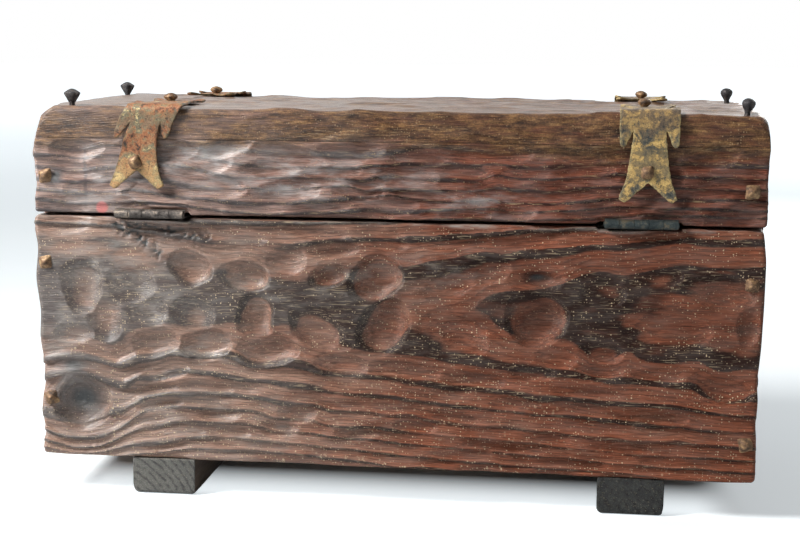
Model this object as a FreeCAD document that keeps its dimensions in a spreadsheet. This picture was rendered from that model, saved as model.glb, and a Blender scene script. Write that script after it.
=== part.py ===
"""Low plank coffer chest with a flat hinged lid, iron straps and two runners.

Row frame: X runs along the chest, the front faces -Y, the hinged back faces +Y,
and Z = 0 is the underside of the runners, below the middle of the chest.
"Left" and "right" are the chest's own, as seen from the front (left is -X).
"""
import FreeCAD, Part
import math
import os
import re
import sys

import Sketcher

# ---------------------------------------------------------------- sizes, in mm

SIZES = {
    # boards
    "chest_length": 540.0,
    "chest_depth": 235.0,
    "board_thickness": 22.0,
    "base_back_height": 184.5,
    "seam_gap": 2.4,
    "lid_frame_height": 56.0,
    "top_board_thickness": 24.5,
    "arris_radius": 2.0,
    "lid_arris_radius": 5.0,
    "floor_thickness": 18.0,
    "floor_gap": 1.5,
    "floor_clearance": 0.3,
    # runners
    "runner_width": 49.0,
    "runner_height": 28.0,
    "runner_setback": 2.5,
    "runner_round": 4.0,
    "runner_left_inset": 90.5,
    "runner_right_inset": 97.5,
    # carving: scallops along the board ends, dished gouges on the faces
    "scallop_width": 40.0,
    "scallop_depth": 2.5,
    "scallop_pitch": 46.0,
    "gouge_width": 34.0,
    "gouge_depth": 2.2,
    "gouge_pitch": 46.0,
    "gouge_end_margin": 40.0,
    "gouge_edge_margin": 28.0,
    # butt hinges
    "hinge_left_inset": 88.5,
    "hinge_right_inset": 91.5,
    "hinge_length": 52.0,
    "barrel_radius": 3.2,
    "barrel_offset": 2.2,
    "pin_radius": 1.3,
    "pin_clearance": 0.05,
    "pin_head_radius": 1.9,
    "pin_head_thickness": 0.6,
    "leaf_thickness": 1.3,
    "leaf_width": 19.0,
    "leaf_clearance": 0.4,
    "knuckle_gap": 0.35,
    "mortise_clearance": 0.8,
    # hinge screws
    "screw_pitch": 17.0,
    "screw_head_radius": 2.8,
    "screw_head_depth": 1.1,
    "screw_shank_radius": 1.4,
    "screw_length": 12.0,
    # forged nails
    "nail_clearance": 0.05,
    "nail_shank_radius": 1.6,
    "nail_hole_spare": 0.5,
    "board_nail_head": 9.5,
    "board_nail_tip": 1.8,
    "board_nail_rise": 5.5,
    "board_nail_grip": 20.0,
    "board_nail_stray": 2.0,
    "base_nail_upper": 148.0,
    "base_nail_lower_left": 29.0,
    "base_nail_lower_right": 44.0,
    "lid_nail_height": 27.0,
    "flat_nail_head": 8.0,
    "flat_nail_rise": 1.5,
    "flat_nail_spread": 13.0,
    "runner_nail_recess": 4.0,
    "runner_nail_recess_radius": 6.5,
    # iron straps
    "strap_thickness": 2.5,
    "strap_bend_radius": 4.0,
    "strap_width": 41.0,
    "strap_reach": 64.0,
    "strap_back_left_inset": 85.0,
    "strap_back_right_inset": 88.5,
    "strap_back_right_skew": 0.2,
    "strap_front_left_inset": 87.0,
    "strap_front_right_inset": 94.0,
    "barb_width": 36.0,
    "barb_depth": 23.5,
    "waist_width": 21.0,
    "waist_depth": 12.5,
    "tail_width": 39.0,
    "tail_prong": 3.5,
    "tail_notch": 14.5,
    "strap_nail_head": 9.0,
    "strap_nail_tip": 1.6,
    "strap_nail_rise": 4.5,
    "strap_nail_length": 18.0,
    "strap_nail_setback": 21.5,
    # corner studs
    "stud_width": 11.0,
    "stud_neck": 3.6,
    "stud_neck_rise": 7.5,
    "stud_crown": 3.5,
    "stud_crown_rise": 4.5,
    "stud_grip": 16.0,
    "stud_back_left_end_inset": 13.0,
    "stud_back_left_edge_inset": 15.0,
    "stud_back_right_end_inset": 26.0,
    "stud_back_right_edge_inset": 15.0,
    "stud_front_left_end_inset": 15.5,
    "stud_front_left_edge_inset": 16.0,
    "stud_front_right_end_inset": 10.5,
    "stud_front_right_edge_inset": 27.0,
}

KNUCKLES = 5
SCREWS_PER_LEAF = 3

# Heights, depths and lengths that several pieces share, as formulas in the sizes.
BASE_TOP = "(runner_height + base_back_height)"
LID_BOTTOM = f"({BASE_TOP} + seam_gap)"
FRAME_TOP = f"({LID_BOTTOM} + lid_frame_height)"
LID_TOP = f"({FRAME_TOP} + top_board_thickness)"
BACK_FACE = "(chest_depth / 2)"
INNER_DEPTH = "(chest_depth - 2 * board_thickness)"
AXIS_Y = f"({BACK_FACE} + barrel_offset)"
AXIS_Z = f"({BASE_TOP} + barrel_radius)"
RUNNER_X = {
    "left": "(runner_left_inset - chest_length / 2)",
    "right": "(chest_length / 2 - runner_right_inset)",
}
HINGE_X = {
    "left": "(hinge_left_inset - chest_length / 2)",
    "right": "(chest_length / 2 - hinge_right_inset)",
}

# Turns that point a piece's own +Z (nails) or +Y (boards, straps) outwards.
X_AXIS = FreeCAD.Vector(1, 0, 0)
Z_AXIS = FreeCAD.Vector(0, 0, 1)
NAIL_TURN = {
    "up": FreeCAD.Rotation(),
    "down": FreeCAD.Rotation(X_AXIS, 180),
    "back": FreeCAD.Rotation(X_AXIS, -90),
    "front": FreeCAD.Rotation(X_AXIS, 90),
}
BOARD_TURN = {
    "back": FreeCAD.Rotation(),
    "front": FreeCAD.Rotation(Z_AXIS, 180),
    "left": FreeCAD.Rotation(Z_AXIS, 90),
    "right": FreeCAD.Rotation(Z_AXIS, -90),
    "up": FreeCAD.Rotation(X_AXIS, 90),
}

doc = FreeCAD.newDocument("coffer_chest")


def make_sheet():
    sheet = doc.addObject("Spreadsheet::Sheet", "Sizes")
    for row, (alias, value) in enumerate(SIZES.items(), start=1):
        sheet.set(f"A{row}", alias.replace("_", " "))
        sheet.set(f"B{row}", str(value))
        sheet.setAlias(f"B{row}", alias)
    doc.recompute()


make_sheet()
calculator = doc.addObject("App::FeaturePython", "Calculator")
calculator.addProperty("App::PropertyFloat", "Result")


# ------------------------------------------------------------- small helpers

def formula(text):
    """Turn a formula in size names into a FreeCAD expression on the sheet."""
    def cell(match):
        word = match.group(0)
        return f"Sizes.{word}" if word in SIZES else word
    return re.sub(r"[a-z_]+", cell, text)


def bind(thing, **formulas):
    """Bind properties of an object to formulas in size names."""
    for name, text in formulas.items():
        thing.setExpression(name, formula(text))


def place(thing, x="0", y="0", z="0", turn=None):
    """Put an object at x, y, z (formulas), after an optional turn."""
    thing.Placement = FreeCAD.Placement(FreeCAD.Vector(), turn or FreeCAD.Rotation())
    for axis, text in (("x", x), ("y", y), ("z", z)):
        thing.setExpression(f"Placement.Base.{axis}", formula(text))


def add(kind, label, **formulas):
    """Add a Part primitive with its sizes bound."""
    thing = doc.addObject(kind, label)
    bind(thing, **formulas)
    return thing


def add_box(label, x, y, z):
    """Add a box between low and high formulas on each axis."""
    box = add("Part::Box", label, Length=f"{x[1]} - ({x[0]})", Width=f"{y[1]} - ({y[0]})",
              Height=f"{z[1]} - ({z[0]})")
    place(box, x[0], y[0], z[0])
    return box


def add_rod_along_x(label, radius, low_x, high_x, y, z):
    """Add a cylinder that lies along X."""
    rod = add("Part::Cylinder", label, Radius=radius, Height=f"{high_x} - ({low_x})")
    place(rod, low_x, y, z, FreeCAD.Rotation(FreeCAD.Vector(0, 1, 0), 90))
    return rod


def group(label, members):
    """Gather separate solids in one object."""
    compound = doc.addObject("Part::Compound", label)
    compound.Links = members
    return compound


def fuse(label, members):
    joined = doc.addObject("Part::MultiFuse", label)
    joined.Shapes = members
    return joined


def cut(label, base, tools):
    """Cut a list of tools from a base."""
    carved = doc.addObject("Part::Cut", label)
    carved.Base = base
    carved.Tool = group(f"{label}_tools", tools) if len(tools) > 1 else tools[0]
    return carved


def origin_feature(body, role):
    return next(item for item in body.Origin.OriginFeatures if item.Role == role)


def add_sketch(body, label, plane):
    sketch = body.newObject("Sketcher::SketchObject", label)
    sketch.AttachmentSupport = [(origin_feature(body, plane), "")]
    sketch.MapMode = "FlatFace"
    return sketch


def fix_coordinate(sketch, geometry, point, name, axis, text):
    """Hold one coordinate of a sketch's point by a named dimension from the origin."""
    sketch.addConstraint(Sketcher.Constraint(f"Distance{axis}", -1, 1, geometry, point, 1.0))
    index = sketch.ConstraintCount - 1
    sketch.renameConstraint(index, name)
    sketch.setDatum(index, value_of(text))
    sketch.setExpression(f"Constraints.{name}", formula(text))


def fix_point(sketch, geometry, point, name, x, y):
    """Hold one point of a sketch at x, y from the origin."""
    fix_coordinate(sketch, geometry, point, f"{name}_x", "X", x)
    fix_coordinate(sketch, geometry, point, f"{name}_y", "Y", y)


def value_of(text):
    """Work out a formula in size names with the sheet's present values."""
    calculator.setExpression("Result", formula(text))
    doc.recompute([calculator])
    return calculator.Result


def draw_outline(sketch, points):
    """Draw a closed outline of straight lines through points given as formulas."""
    corners = [FreeCAD.Vector(value_of(x), value_of(y), 0) for x, y in points]
    for index, corner in enumerate(corners):
        sketch.addGeometry(Part.LineSegment(corner, corners[(index + 1) % len(corners)]))
    for index in range(len(corners)):
        sketch.addConstraint(Sketcher.Constraint("Coincident", index, 2, (index + 1) % len(corners), 1))
    for index, (x, y) in enumerate(points):
        fix_point(sketch, index, 1, f"corner_{index}", x, y)


def add_pad(body, sketch, label, length, reverse=False):
    pad = body.newObject("PartDesign::Pad", label)
    pad.Profile = sketch
    pad.Reversed = reverse
    bind(pad, Length=length)
    body.Tip = pad
    doc.recompute()
    return pad


def round_edges(body, label, radius, wanted):
    """Fillet the edges of the body's present tip that wanted(edge) accepts."""
    tip = body.Tip
    names = [f"Edge{number}" for number, edge in enumerate(tip.Shape.Edges, start=1) if wanted(edge)]
    fillet = body.newObject("PartDesign::Fillet", label)
    fillet.Base = (tip, names)
    bind(fillet, Radius=radius)
    body.Tip = fillet
    doc.recompute()
    return fillet


def add_pattern(body, feature, label, direction, offset, count, row_offset="1", rows="1"):
    """Repeat a feature along one origin axis, and in rows along Z."""
    pattern = body.newObject("PartDesign::LinearPattern", label)
    pattern.Originals = [feature]
    pattern.Direction = (origin_feature(body, direction), [""])
    pattern.Mode = "Spacing"
    bind(pattern, Offset=offset, Occurrences=count)
    if rows != "1":
        pattern.Direction2 = (origin_feature(body, "Z_Axis"), [""])
        pattern.Mode2 = "Spacing"
        bind(pattern, Offset2=row_offset, Occurrences2=rows)
        doc.recompute()
        # Each -1 stands for the common row offset.
        pattern.Spacings2 = [-1.0] * (pattern.Occurrences2 - 1)
    body.Tip = pattern
    doc.recompute()
    return pattern


# ------------------------------------------------------------- carved boards

def arc_radius(chord, rise):
    """Formula for the radius of a shallow arc of this chord and rise."""
    return f"(({chord}) * ({chord}) / 4 + ({rise}) * ({rise})) / (2 * ({rise}))"


def scallop_ends(body, label, length, height):
    """Cut a row of shallow round scallops up both ends of a board."""
    radius = arc_radius("scallop_width", "scallop_depth")
    count = f"max(1; floor(({height}) / scallop_pitch))"
    first = f"(({height}) - ({count} - 1) * scallop_pitch) / 2"
    centre = f"({length}) / 2 - scallop_depth + {radius}"
    sketch = add_sketch(body, f"{label}_scallop_sketch", "XZ_Plane")
    for index, sign in enumerate(("-1", "1")):
        middle = FreeCAD.Vector(value_of(f"{sign} * ({centre})"), value_of(first), 0)
        sketch.addGeometry(Part.Circle(middle, Z_AXIS, value_of(radius)))
        sketch.addConstraint(Sketcher.Constraint("Radius", index, value_of(radius)))
        name = f"round_{index}"
        sketch.renameConstraint(sketch.ConstraintCount - 1, name)
        sketch.setExpression(f"Constraints.{name}", formula(radius))
        fix_point(sketch, index, 3, f"centre_{index}", f"{sign} * ({centre})", first)
    doc.recompute()
    pocket = body.newObject("PartDesign::Pocket", f"{label}_scallop")
    pocket.Profile = sketch
    pocket.Type = "ThroughAll"
    pocket.SideType = "Symmetric"
    body.Tip = pocket
    doc.recompute()
    add_pattern(body, pocket, f"{label}_scallops", "Z_Axis", "scallop_pitch", count)


def gouge_face(body, label, length, height):
    """Dish the outer face with rows of round gouges."""
    radius = arc_radius("gouge_width", "gouge_depth")
    steps = f"max(0; floor((({length}) - 2 * gouge_end_margin) / gouge_pitch))"
    row_steps = f"max(0; floor((({height}) - 2 * gouge_edge_margin) / gouge_pitch))"
    dish = body.newObject("PartDesign::SubtractiveSphere", f"{label}_gouge")
    bind(dish, Radius=radius)
    dish.AttachmentSupport = [(origin_feature(body, "XZ_Plane"), "")]
    dish.MapMode = "FlatFace"
    dish.setExpression("AttachmentOffset.Base.x", formula(f"-1 * {steps} * gouge_pitch / 2"))
    dish.setExpression("AttachmentOffset.Base.y", formula(f"(({height}) - {row_steps} * gouge_pitch) / 2"))
    dish.setExpression("AttachmentOffset.Base.z", formula(f"gouge_depth - {radius}"))
    body.Tip = dish
    doc.recompute()
    add_pattern(body, dish, f"{label}_gouges", "X_Axis", "gouge_pitch", f"{steps} + 1",
                "gouge_pitch", f"{row_steps} + 1")


def make_board(label, length, height, thickness, facing, x, y, z, scalloped, arris):
    """A plank whose outer face has rounded long edges, gouges and, if asked, scalloped ends.

    In its own frame the outer face lies at Y = 0, the plank behind it, and Z runs up from 0.
    """
    body = doc.addObject("PartDesign::Body", f"{label}_plank")
    sketch = add_sketch(body, f"{label}_outline", "XZ_Plane")
    half = f"({length}) / 2"
    draw_outline(sketch, [(f"-1 * {half}", "0"), (half, "0"), (half, height), (f"-1 * {half}", height)])
    add_pad(body, sketch, f"{label}_pad", thickness)

    def is_long_outer(edge):
        box = edge.BoundBox
        return abs(box.YMin) < 0.01 and abs(box.YMax) < 0.01 and box.ZLength < 0.01

    round_edges(body, f"{label}_arris", arris, is_long_outer)
    if scalloped:
        scallop_ends(body, label, length, height)
    gouge_face(body, label, length, height)
    place(body, x, y, z, BOARD_TURN[facing])
    return body


# ------------------------------------------------------- nails, studs, screws

def add_pyramid(label, width, tip, low, rise):
    """A square frustum about local Z that starts at height low."""
    pyramid = doc.addObject("Part::Wedge", label)
    for side in ("X", "Z"):
        bind(pyramid, **{f"{side}min": f"-1 * ({width}) / 2", f"{side}max": f"({width}) / 2",
                         f"{side}2min": f"-1 * ({tip}) / 2", f"{side}2max": f"({tip}) / 2"})
    bind(pyramid, Ymin="0", Ymax=rise)
    place(pyramid, z=low, turn=FreeCAD.Rotation(X_AXIS, 90))
    return pyramid


def add_shank(label, radius, depth, top="0"):
    """A round shank from the height top down to the given depth."""
    shank = add("Part::Cylinder", label, Radius=radius, Height=f"{top} + {depth}")
    place(shank, z=f"-1 * ({depth})")
    return shank


class Fasteners:
    """A set of like fasteners: their solids, and the drills that clear their shanks."""

    def __init__(self, label, make_head, shank_radius, depth, make_sink=None):
        self.label = label
        self.make_head = make_head
        self.shank_radius = shank_radius
        self.depth = depth
        self.make_sink = make_sink
        self.solids = []
        self.drills = []

    def drive(self, facing, x, y, z):
        """Put one fastener at x, y, z with its head facing outwards."""
        name = f"{self.label}_{len(self.solids) + 1}"
        heads, shank_top = self.make_head(name)
        solid = fuse(name, heads + [add_shank(f"{name}_shank", self.shank_radius, self.depth, shank_top)])
        place(solid, x, y, z, NAIL_TURN[facing])
        self.solids.append(solid)
        bores = [add_shank(f"{name}_bore", f"{self.shank_radius} + nail_clearance",
                           f"{self.depth} + nail_hole_spare", "nail_hole_spare")]
        bores += self.make_sink(name) if self.make_sink else []
        drill = fuse(f"{name}_drill", bores) if len(bores) > 1 else group(f"{name}_drill", bores)
        place(drill, x, y, z, NAIL_TURN[facing])
        self.drills.append(drill)

    def node(self):
        return group(self.label, self.solids)


def pyramid_head(head, tip, rise):
    def make(name):
        return [add_pyramid(f"{name}_head", head, tip, "0", rise)], f"{rise} / 2"
    return make


def stud_head(name):
    """A head that flares out from a narrow neck to a low crown."""
    neck = add_pyramid(f"{name}_neck", "stud_neck", "stud_width", "0", "stud_neck_rise")
    crown = add_pyramid(f"{name}_crown", "stud_width", "stud_crown", "stud_neck_rise", "stud_crown_rise")
    return [neck, crown], "stud_neck_rise / 2"


def screw_cone(name, spare):
    cone = add("Part::Cone", name, Radius1=f"screw_shank_radius + {spare}",
               Radius2=f"screw_head_radius + {spare}", Height="screw_head_depth")
    place(cone, z="-1 * screw_head_depth")
    return cone


def screw_head(name):
    return [screw_cone(f"{name}_head", "0")], "-1 * screw_head_depth / 2"


def screw_sink(name):
    return [screw_cone(f"{name}_sink", "nail_clearance")]


def nail_recess(name):
    """A wide recess that keeps a nail's head above the underside of a runner."""
    recess = add("Part::Cylinder", f"{name}_recess", Radius="runner_nail_recess_radius",
                 Height="runner_nail_recess + nail_hole_spare")
    return [recess]


def board_nails(label):
    head = pyramid_head("board_nail_head", "board_nail_tip", "board_nail_rise")
    return Fasteners(label, head, "nail_shank_radius", "(board_thickness + board_nail_grip)")


END_NAIL_X = "(chest_length / 2 - board_thickness / 2 + board_nail_stray)"
LID_NAIL_X = "(chest_length / 2 - board_thickness / 2)"


def make_base_nails(label, facing, y):
    nails = board_nails(label)
    for sign, lower in (("-1", "base_nail_lower_left"), ("1", "base_nail_lower_right")):
        for height in ("base_nail_upper", lower):
            nails.drive(facing, f"{sign} * {END_NAIL_X}", y, f"runner_height + {height}")
    return nails


def make_lid_nails(label, facing, y):
    nails = board_nails(label)
    for sign in ("-1", "1"):
        nails.drive(facing, f"{sign} * {LID_NAIL_X}", y, f"{LID_BOTTOM} + lid_nail_height")
    return nails


base_back_nails = make_base_nails("base_back_nails", "back", BACK_FACE)
base_front_nails = make_base_nails("base_front_nails", "front", f"-1 * {BACK_FACE}")
lid_back_nails = make_lid_nails("lid_back_nails", "back", BACK_FACE)
lid_front_nails = make_lid_nails("lid_front_nails", "front", f"-1 * {BACK_FACE}")

FLOOR_TOP = "(runner_height + floor_thickness)"
FLOOR_BOARD_WIDTH = f"(({INNER_DEPTH} - 2 * floor_clearance - floor_gap) / 2)"
FLOOR_BOARD_Y = f"(({FLOOR_BOARD_WIDTH} + floor_gap) / 2)"


def make_floor_nails():
    """Flat-headed nails down through the floor boards into the runners."""
    head = pyramid_head("flat_nail_head", "flat_nail_head / 2", "flat_nail_rise")
    nails = Fasteners("floor_nails", head, "nail_shank_radius", "(floor_thickness + runner_height / 2)")
    for side in ("left", "right"):
        for x_sign in ("-1", "1"):
            for y_sign in ("-1", "1"):
                nails.drive("up", f"{RUNNER_X[side]} + {x_sign} * flat_nail_spread",
                            f"{y_sign} * {FLOOR_BOARD_Y}", FLOOR_TOP)
    return nails


def make_runner_nails():
    """Nails up through each runner into the lower edges of the back and front boards."""
    head = pyramid_head("flat_nail_head", "flat_nail_head / 2", "flat_nail_rise")
    nails = Fasteners("runner_nails", head, "nail_shank_radius",
                      "(runner_height - runner_nail_recess + board_nail_grip)", nail_recess)
    for side in ("left", "right"):
        for y_sign in ("-1", "1"):
            nails.drive("down", RUNNER_X[side], f"{y_sign} * (chest_depth / 2 - board_thickness / 2)",
                        "runner_nail_recess")
    return nails


floor_nails = make_floor_nails()
runner_nails = make_runner_nails()


def make_studs():
    studs = Fasteners("corner_studs", stud_head, "nail_shank_radius", "(top_board_thickness + stud_grip)")
    for end_sign, side in (("-1", "left"), ("1", "right")):
        for edge_sign, edge in (("-1", "front"), ("1", "back")):
            studs.drive("up", f"{end_sign} * (chest_length / 2 - stud_{edge}_{side}_end_inset)",
                        f"{edge_sign} * (chest_depth / 2 - stud_{edge}_{side}_edge_inset)", LID_TOP)
    return studs


corner_studs = make_studs()

LEAF_MIDDLE_Y = f"({BACK_FACE} - leaf_width / 2)"


def make_hinge_screws(label, facing, z):
    screws = Fasteners(label, screw_head, "screw_shank_radius", "screw_length", screw_sink)
    for side in ("left", "right"):
        for index in range(SCREWS_PER_LEAF):
            step = index - (SCREWS_PER_LEAF - 1) / 2
            screws.drive(facing, f"{HINGE_X[side]} + ({step}) * screw_pitch", LEAF_MIDDLE_Y, z)
    return screws


base_hinge_screws = make_hinge_screws("base_hinge_screws", "up", f"{BASE_TOP} + leaf_thickness")
LID_LEAF_FACE = f"({BASE_TOP} + 2 * barrel_radius - leaf_thickness)"
lid_hinge_screws = make_hinge_screws("lid_hinge_screws", "down", LID_LEAF_FACE)


# ------------------------------------------------------------------- straps

class Strap:
    """One bent iron strap: barbed fishtails on the lid's side and on its top."""

    def __init__(self, label, facing, x, skew):
        self.label = label
        self.facing = facing
        self.x = x
        self.skew = skew

    def along(self, distance):
        """How far the strap's middle has moved sideways at a distance from the arris."""
        return f"{self.skew} * ({distance})"

    def outline(self, side_sign, out_sign):
        """The barbed fishtail, as points across and away from the arris.

        side_sign is the sideways direction of the skew, out_sign that of the distance.
        """
        reach = "strap_reach"
        half = [
            ("strap_width / 2", "strap_bend_radius"),
            ("barb_width / 2", "barb_depth"),
            ("waist_width / 2", "waist_depth"),
            ("tail_width / 2", f"{reach} - tail_prong / 2"),
            ("tail_width / 2 - tail_prong", reach),
        ]
        points = [(across, away) for across, away in half]
        points.append(("0", f"{reach} - tail_notch"))
        points += [(f"-1 * ({across})", away) for across, away in reversed(half)]
        return [(f"{across} + {side_sign} * {self.along(away)}", f"{out_sign} * ({away})")
                for across, away in points]

    def build(self):
        """Plates on the face and the top, joined by a quarter-round bend over the arris.

        In its own frame the face plate lies against Y = 0 below Z = 0, and the top plate
        lies on Z = 0 behind Y = 0.
        """
        body = doc.addObject("PartDesign::Body", f"{self.label}_iron")
        face_sketch = add_sketch(body, f"{self.label}_face_outline", "XZ_Plane")
        draw_outline(face_sketch, self.outline("1", "-1"))
        add_pad(body, face_sketch, f"{self.label}_face", "strap_thickness", reverse=True)
        top_sketch = add_sketch(body, f"{self.label}_top_outline", "XY_Plane")
        draw_outline(top_sketch, self.outline("-1", "-1"))
        add_pad(body, top_sketch, f"{self.label}_top", "strap_thickness")
        self.add_bend(body)
        place(body, self.x, BACK_FACE if self.facing == "back" else f"-1 * {BACK_FACE}", LID_TOP,
              BOARD_TURN[self.facing])
        return body

    def add_bend(self, body):
        """The bend is a quarter ring about a centre just inside the wood's arris."""
        sketch = add_sketch(body, f"{self.label}_bend_outline", "YZ_Plane")
        inner = value_of("strap_bend_radius")
        outer = value_of("strap_bend_radius + strap_thickness")
        middle = FreeCAD.Vector(-inner, -inner, 0)

        def quarter(radius):
            return Part.ArcOfCircle(Part.Circle(middle, Z_AXIS, radius), 0, math.pi / 2)

        def at(radius, dx, dy):
            return FreeCAD.Vector(-inner + radius * dx, -inner + radius * dy, 0)

        sketch.addGeometry(quarter(outer))
        sketch.addGeometry(Part.LineSegment(at(outer, 0, 1), at(inner, 0, 1)))
        sketch.addGeometry(quarter(inner))
        sketch.addGeometry(Part.LineSegment(at(inner, 1, 0), at(outer, 1, 0)))
        for first, first_end, second, second_end in ((0, 2, 1, 1), (1, 2, 2, 2), (2, 1, 3, 1), (3, 2, 0, 1)):
            sketch.addConstraint(Sketcher.Constraint("Coincident", first, first_end, second, second_end))
        sketch.addConstraint(Sketcher.Constraint("Coincident", 0, 3, 2, 3))
        fix_point(sketch, 0, 3, "centre", "-1 * strap_bend_radius", "-1 * strap_bend_radius")
        fix_point(sketch, 0, 1, "outer_low", "strap_thickness", "-1 * strap_bend_radius")
        fix_coordinate(sketch, 0, 2, "outer_high", "X", "-1 * strap_bend_radius")
        fix_point(sketch, 2, 1, "inner_low", "0", "-1 * strap_bend_radius")
        fix_coordinate(sketch, 2, 2, "inner_high", "X", "-1 * strap_bend_radius")
        pad = add_pad(body, sketch, f"{self.label}_bend", "strap_width")
        pad.SideType = "Symmetric"
        doc.recompute()


STRAPS = [
    Strap("strap_back_left", "back", "(strap_back_left_inset - chest_length / 2)", "0"),
    Strap("strap_back_right", "back", "(chest_length / 2 - strap_back_right_inset)", "strap_back_right_skew"),
    Strap("strap_front_left", "front", "(strap_front_left_inset - chest_length / 2)", "0"),
    Strap("strap_front_right", "front", "(chest_length / 2 - strap_front_right_inset)", "0"),
]


def make_strap_nails():
    """One nail through each plate of every strap."""
    head = pyramid_head("strap_nail_head", "strap_nail_tip", "strap_nail_rise")
    face_nails = Fasteners("strap_face_nails", head, "nail_shank_radius", "strap_nail_length")
    top_nails = Fasteners("strap_top_nails", head, "nail_shank_radius", "strap_nail_length")
    away = "(strap_reach - strap_nail_setback)"
    for strap in STRAPS:
        sign = "1" if strap.facing == "back" else "-1"
        shift = f"{sign} * {strap.along(away)}"
        face_nails.drive(strap.facing, f"{strap.x} + {shift}", f"{sign} * ({BACK_FACE} + strap_thickness)",
                         f"{LID_TOP} - {away}")
        top_nails.drive("up", f"{strap.x} - {shift}", f"{sign} * ({BACK_FACE} - {away})",
                        f"{LID_TOP} + strap_thickness")
    return face_nails, top_nails


strap_face_nails, strap_top_nails = make_strap_nails()


# ------------------------------------------------------------------ hinges

def leaf_parts(label, side, plate_low, own_knuckles):
    """Plate, tabs and knuckles of one hinge leaf; plate_low is the plate's underside."""
    plate_high = f"({plate_low} + leaf_thickness)"
    low_x = f"({HINGE_X[side]} - hinge_length / 2)"
    high_x = f"({HINGE_X[side]} + hinge_length / 2)"
    inner_y = f"({BACK_FACE} - leaf_width)"
    outer_y = f"({AXIS_Y} - barrel_radius - leaf_clearance)"
    parts = [add_box(f"{label}_plate", (low_x, high_x), (inner_y, outer_y), (plate_low, plate_high))]
    pitch = f"(hinge_length / {KNUCKLES})"
    for index in own_knuckles:
        start = f"({low_x} + {index} * {pitch} + knuckle_gap / 2)"
        stop = f"({low_x} + {index + 1} * {pitch} - knuckle_gap / 2)"
        parts.append(add_box(f"{label}_tab_{index}", (start, stop), (f"({outer_y} - leaf_clearance)", AXIS_Y),
                             (plate_low, plate_high)))
        parts.append(add_rod_along_x(f"{label}_knuckle_{index}", "barrel_radius", start, stop, AXIS_Y, AXIS_Z))
    return parts


def make_leaf(label, side, plate_low, own_knuckles, screws):
    solid = fuse(f"{label}_blank", leaf_parts(label, side, plate_low, own_knuckles))
    bore = add_rod_along_x(f"{label}_bore", "pin_radius + pin_clearance",
                           f"({HINGE_X[side]} - hinge_length)", f"({HINGE_X[side]} + hinge_length)",
                           AXIS_Y, AXIS_Z)
    return cut(label, solid, [bore] + screws.drills)


def make_pin(label, side):
    """A pin with a thin flat head at each end of the barrel."""
    low_x = f"({HINGE_X[side]} - hinge_length / 2)"
    high_x = f"({HINGE_X[side]} + hinge_length / 2)"
    shaft = add_rod_along_x(f"{label}_shaft", "pin_radius", low_x, high_x, AXIS_Y, AXIS_Z)
    left_head = add_rod_along_x(f"{label}_head_1", "pin_head_radius", f"({low_x} - pin_head_thickness)",
                                low_x, AXIS_Y, AXIS_Z)
    right_head = add_rod_along_x(f"{label}_head_2", "pin_head_radius", high_x,
                                 f"({high_x} + pin_head_thickness)", AXIS_Y, AXIS_Z)
    return fuse(label, [shaft, left_head, right_head])


def make_mortise(side):
    """The shallow seat for the lid leaf and the barrel in the lid's lower back edge."""
    half = "(hinge_length / 2 + mortise_clearance)"
    return add_box(f"mortise_{side}", (f"({HINGE_X[side]} - {half})", f"({HINGE_X[side]} + {half})"),
                   (f"({BACK_FACE} - leaf_width - mortise_clearance)", f"({AXIS_Y} + barrel_radius)"),
                   (f"({LID_BOTTOM} - seam_gap)", f"({BASE_TOP} + 2 * barrel_radius)"))


# ------------------------------------------------------------------ runners

def make_runner(label, side):
    """A sledge runner across the underside, its lower long edges rounded."""
    body = doc.addObject("PartDesign::Body", f"{label}_bar")
    sketch = add_sketch(body, f"{label}_outline", "XZ_Plane")
    half = "runner_width / 2"
    draw_outline(sketch, [(f"-1 * {half}", "0"), (half, "0"), (half, "runner_height"),
                          (f"-1 * {half}", "runner_height")])
    add_pad(body, sketch, f"{label}_pad", "chest_depth - 2 * runner_setback")

    def is_lower_long(edge):
        box = edge.BoundBox
        return box.ZMax < 0.01 and box.YLength > 1

    round_edges(body, f"{label}_rounds", "runner_round", is_lower_long)
    place(body, RUNNER_X[side], f"{BACK_FACE} - runner_setback", "0")
    return cut(label, body, floor_nails.drills + runner_nails.drills)


# ----------------------------------------------------------------- assembly

def drilled_board(label, length, height, thickness, facing, where, drills, scalloped=True,
                  arris="arris_radius"):
    """A carved board with its fastener holes; where is its x, y, z."""
    plank = make_board(label, length, height, thickness, facing, *where, scalloped, arris)
    return cut(label, plank, drills)


def make_base():
    rim_height = "(base_back_height + seam_gap)"
    end_x = "(chest_length / 2)"
    end_drills = base_back_nails.drills + base_front_nails.drills
    pieces = [
        drilled_board("base_back_board", "chest_length", "base_back_height", "board_thickness", "back",
                      ("0", BACK_FACE, "runner_height"),
                      base_back_nails.drills + runner_nails.drills + base_hinge_screws.drills),
        drilled_board("base_front_board", "chest_length", rim_height, "board_thickness", "front",
                      ("0", f"-1 * {BACK_FACE}", "runner_height"),
                      base_front_nails.drills + runner_nails.drills),
        drilled_board("base_end_left", INNER_DEPTH, rim_height, "board_thickness", "left",
                      (f"-1 * {end_x}", "0", "runner_height"), end_drills, False),
        drilled_board("base_end_right", INNER_DEPTH, rim_height, "board_thickness", "right",
                      (end_x, "0", "runner_height"), end_drills, False),
    ]
    inner_half = "(chest_length / 2 - board_thickness - floor_clearance)"
    for side, sign in (("front", "-1"), ("back", "1")):
        middle = f"({sign} * {FLOOR_BOARD_Y})"
        plank = add_box(f"floor_board_{side}_plank", (f"-1 * {inner_half}", inner_half),
                        (f"({middle} - {FLOOR_BOARD_WIDTH} / 2)", f"({middle} + {FLOOR_BOARD_WIDTH} / 2)"),
                        ("runner_height", FLOOR_TOP))
        pieces.append(cut(f"floor_board_{side}", plank, floor_nails.drills))
    for side in ("left", "right"):
        pieces.append(make_runner(f"runner_{side}", side))
    return pieces


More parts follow.
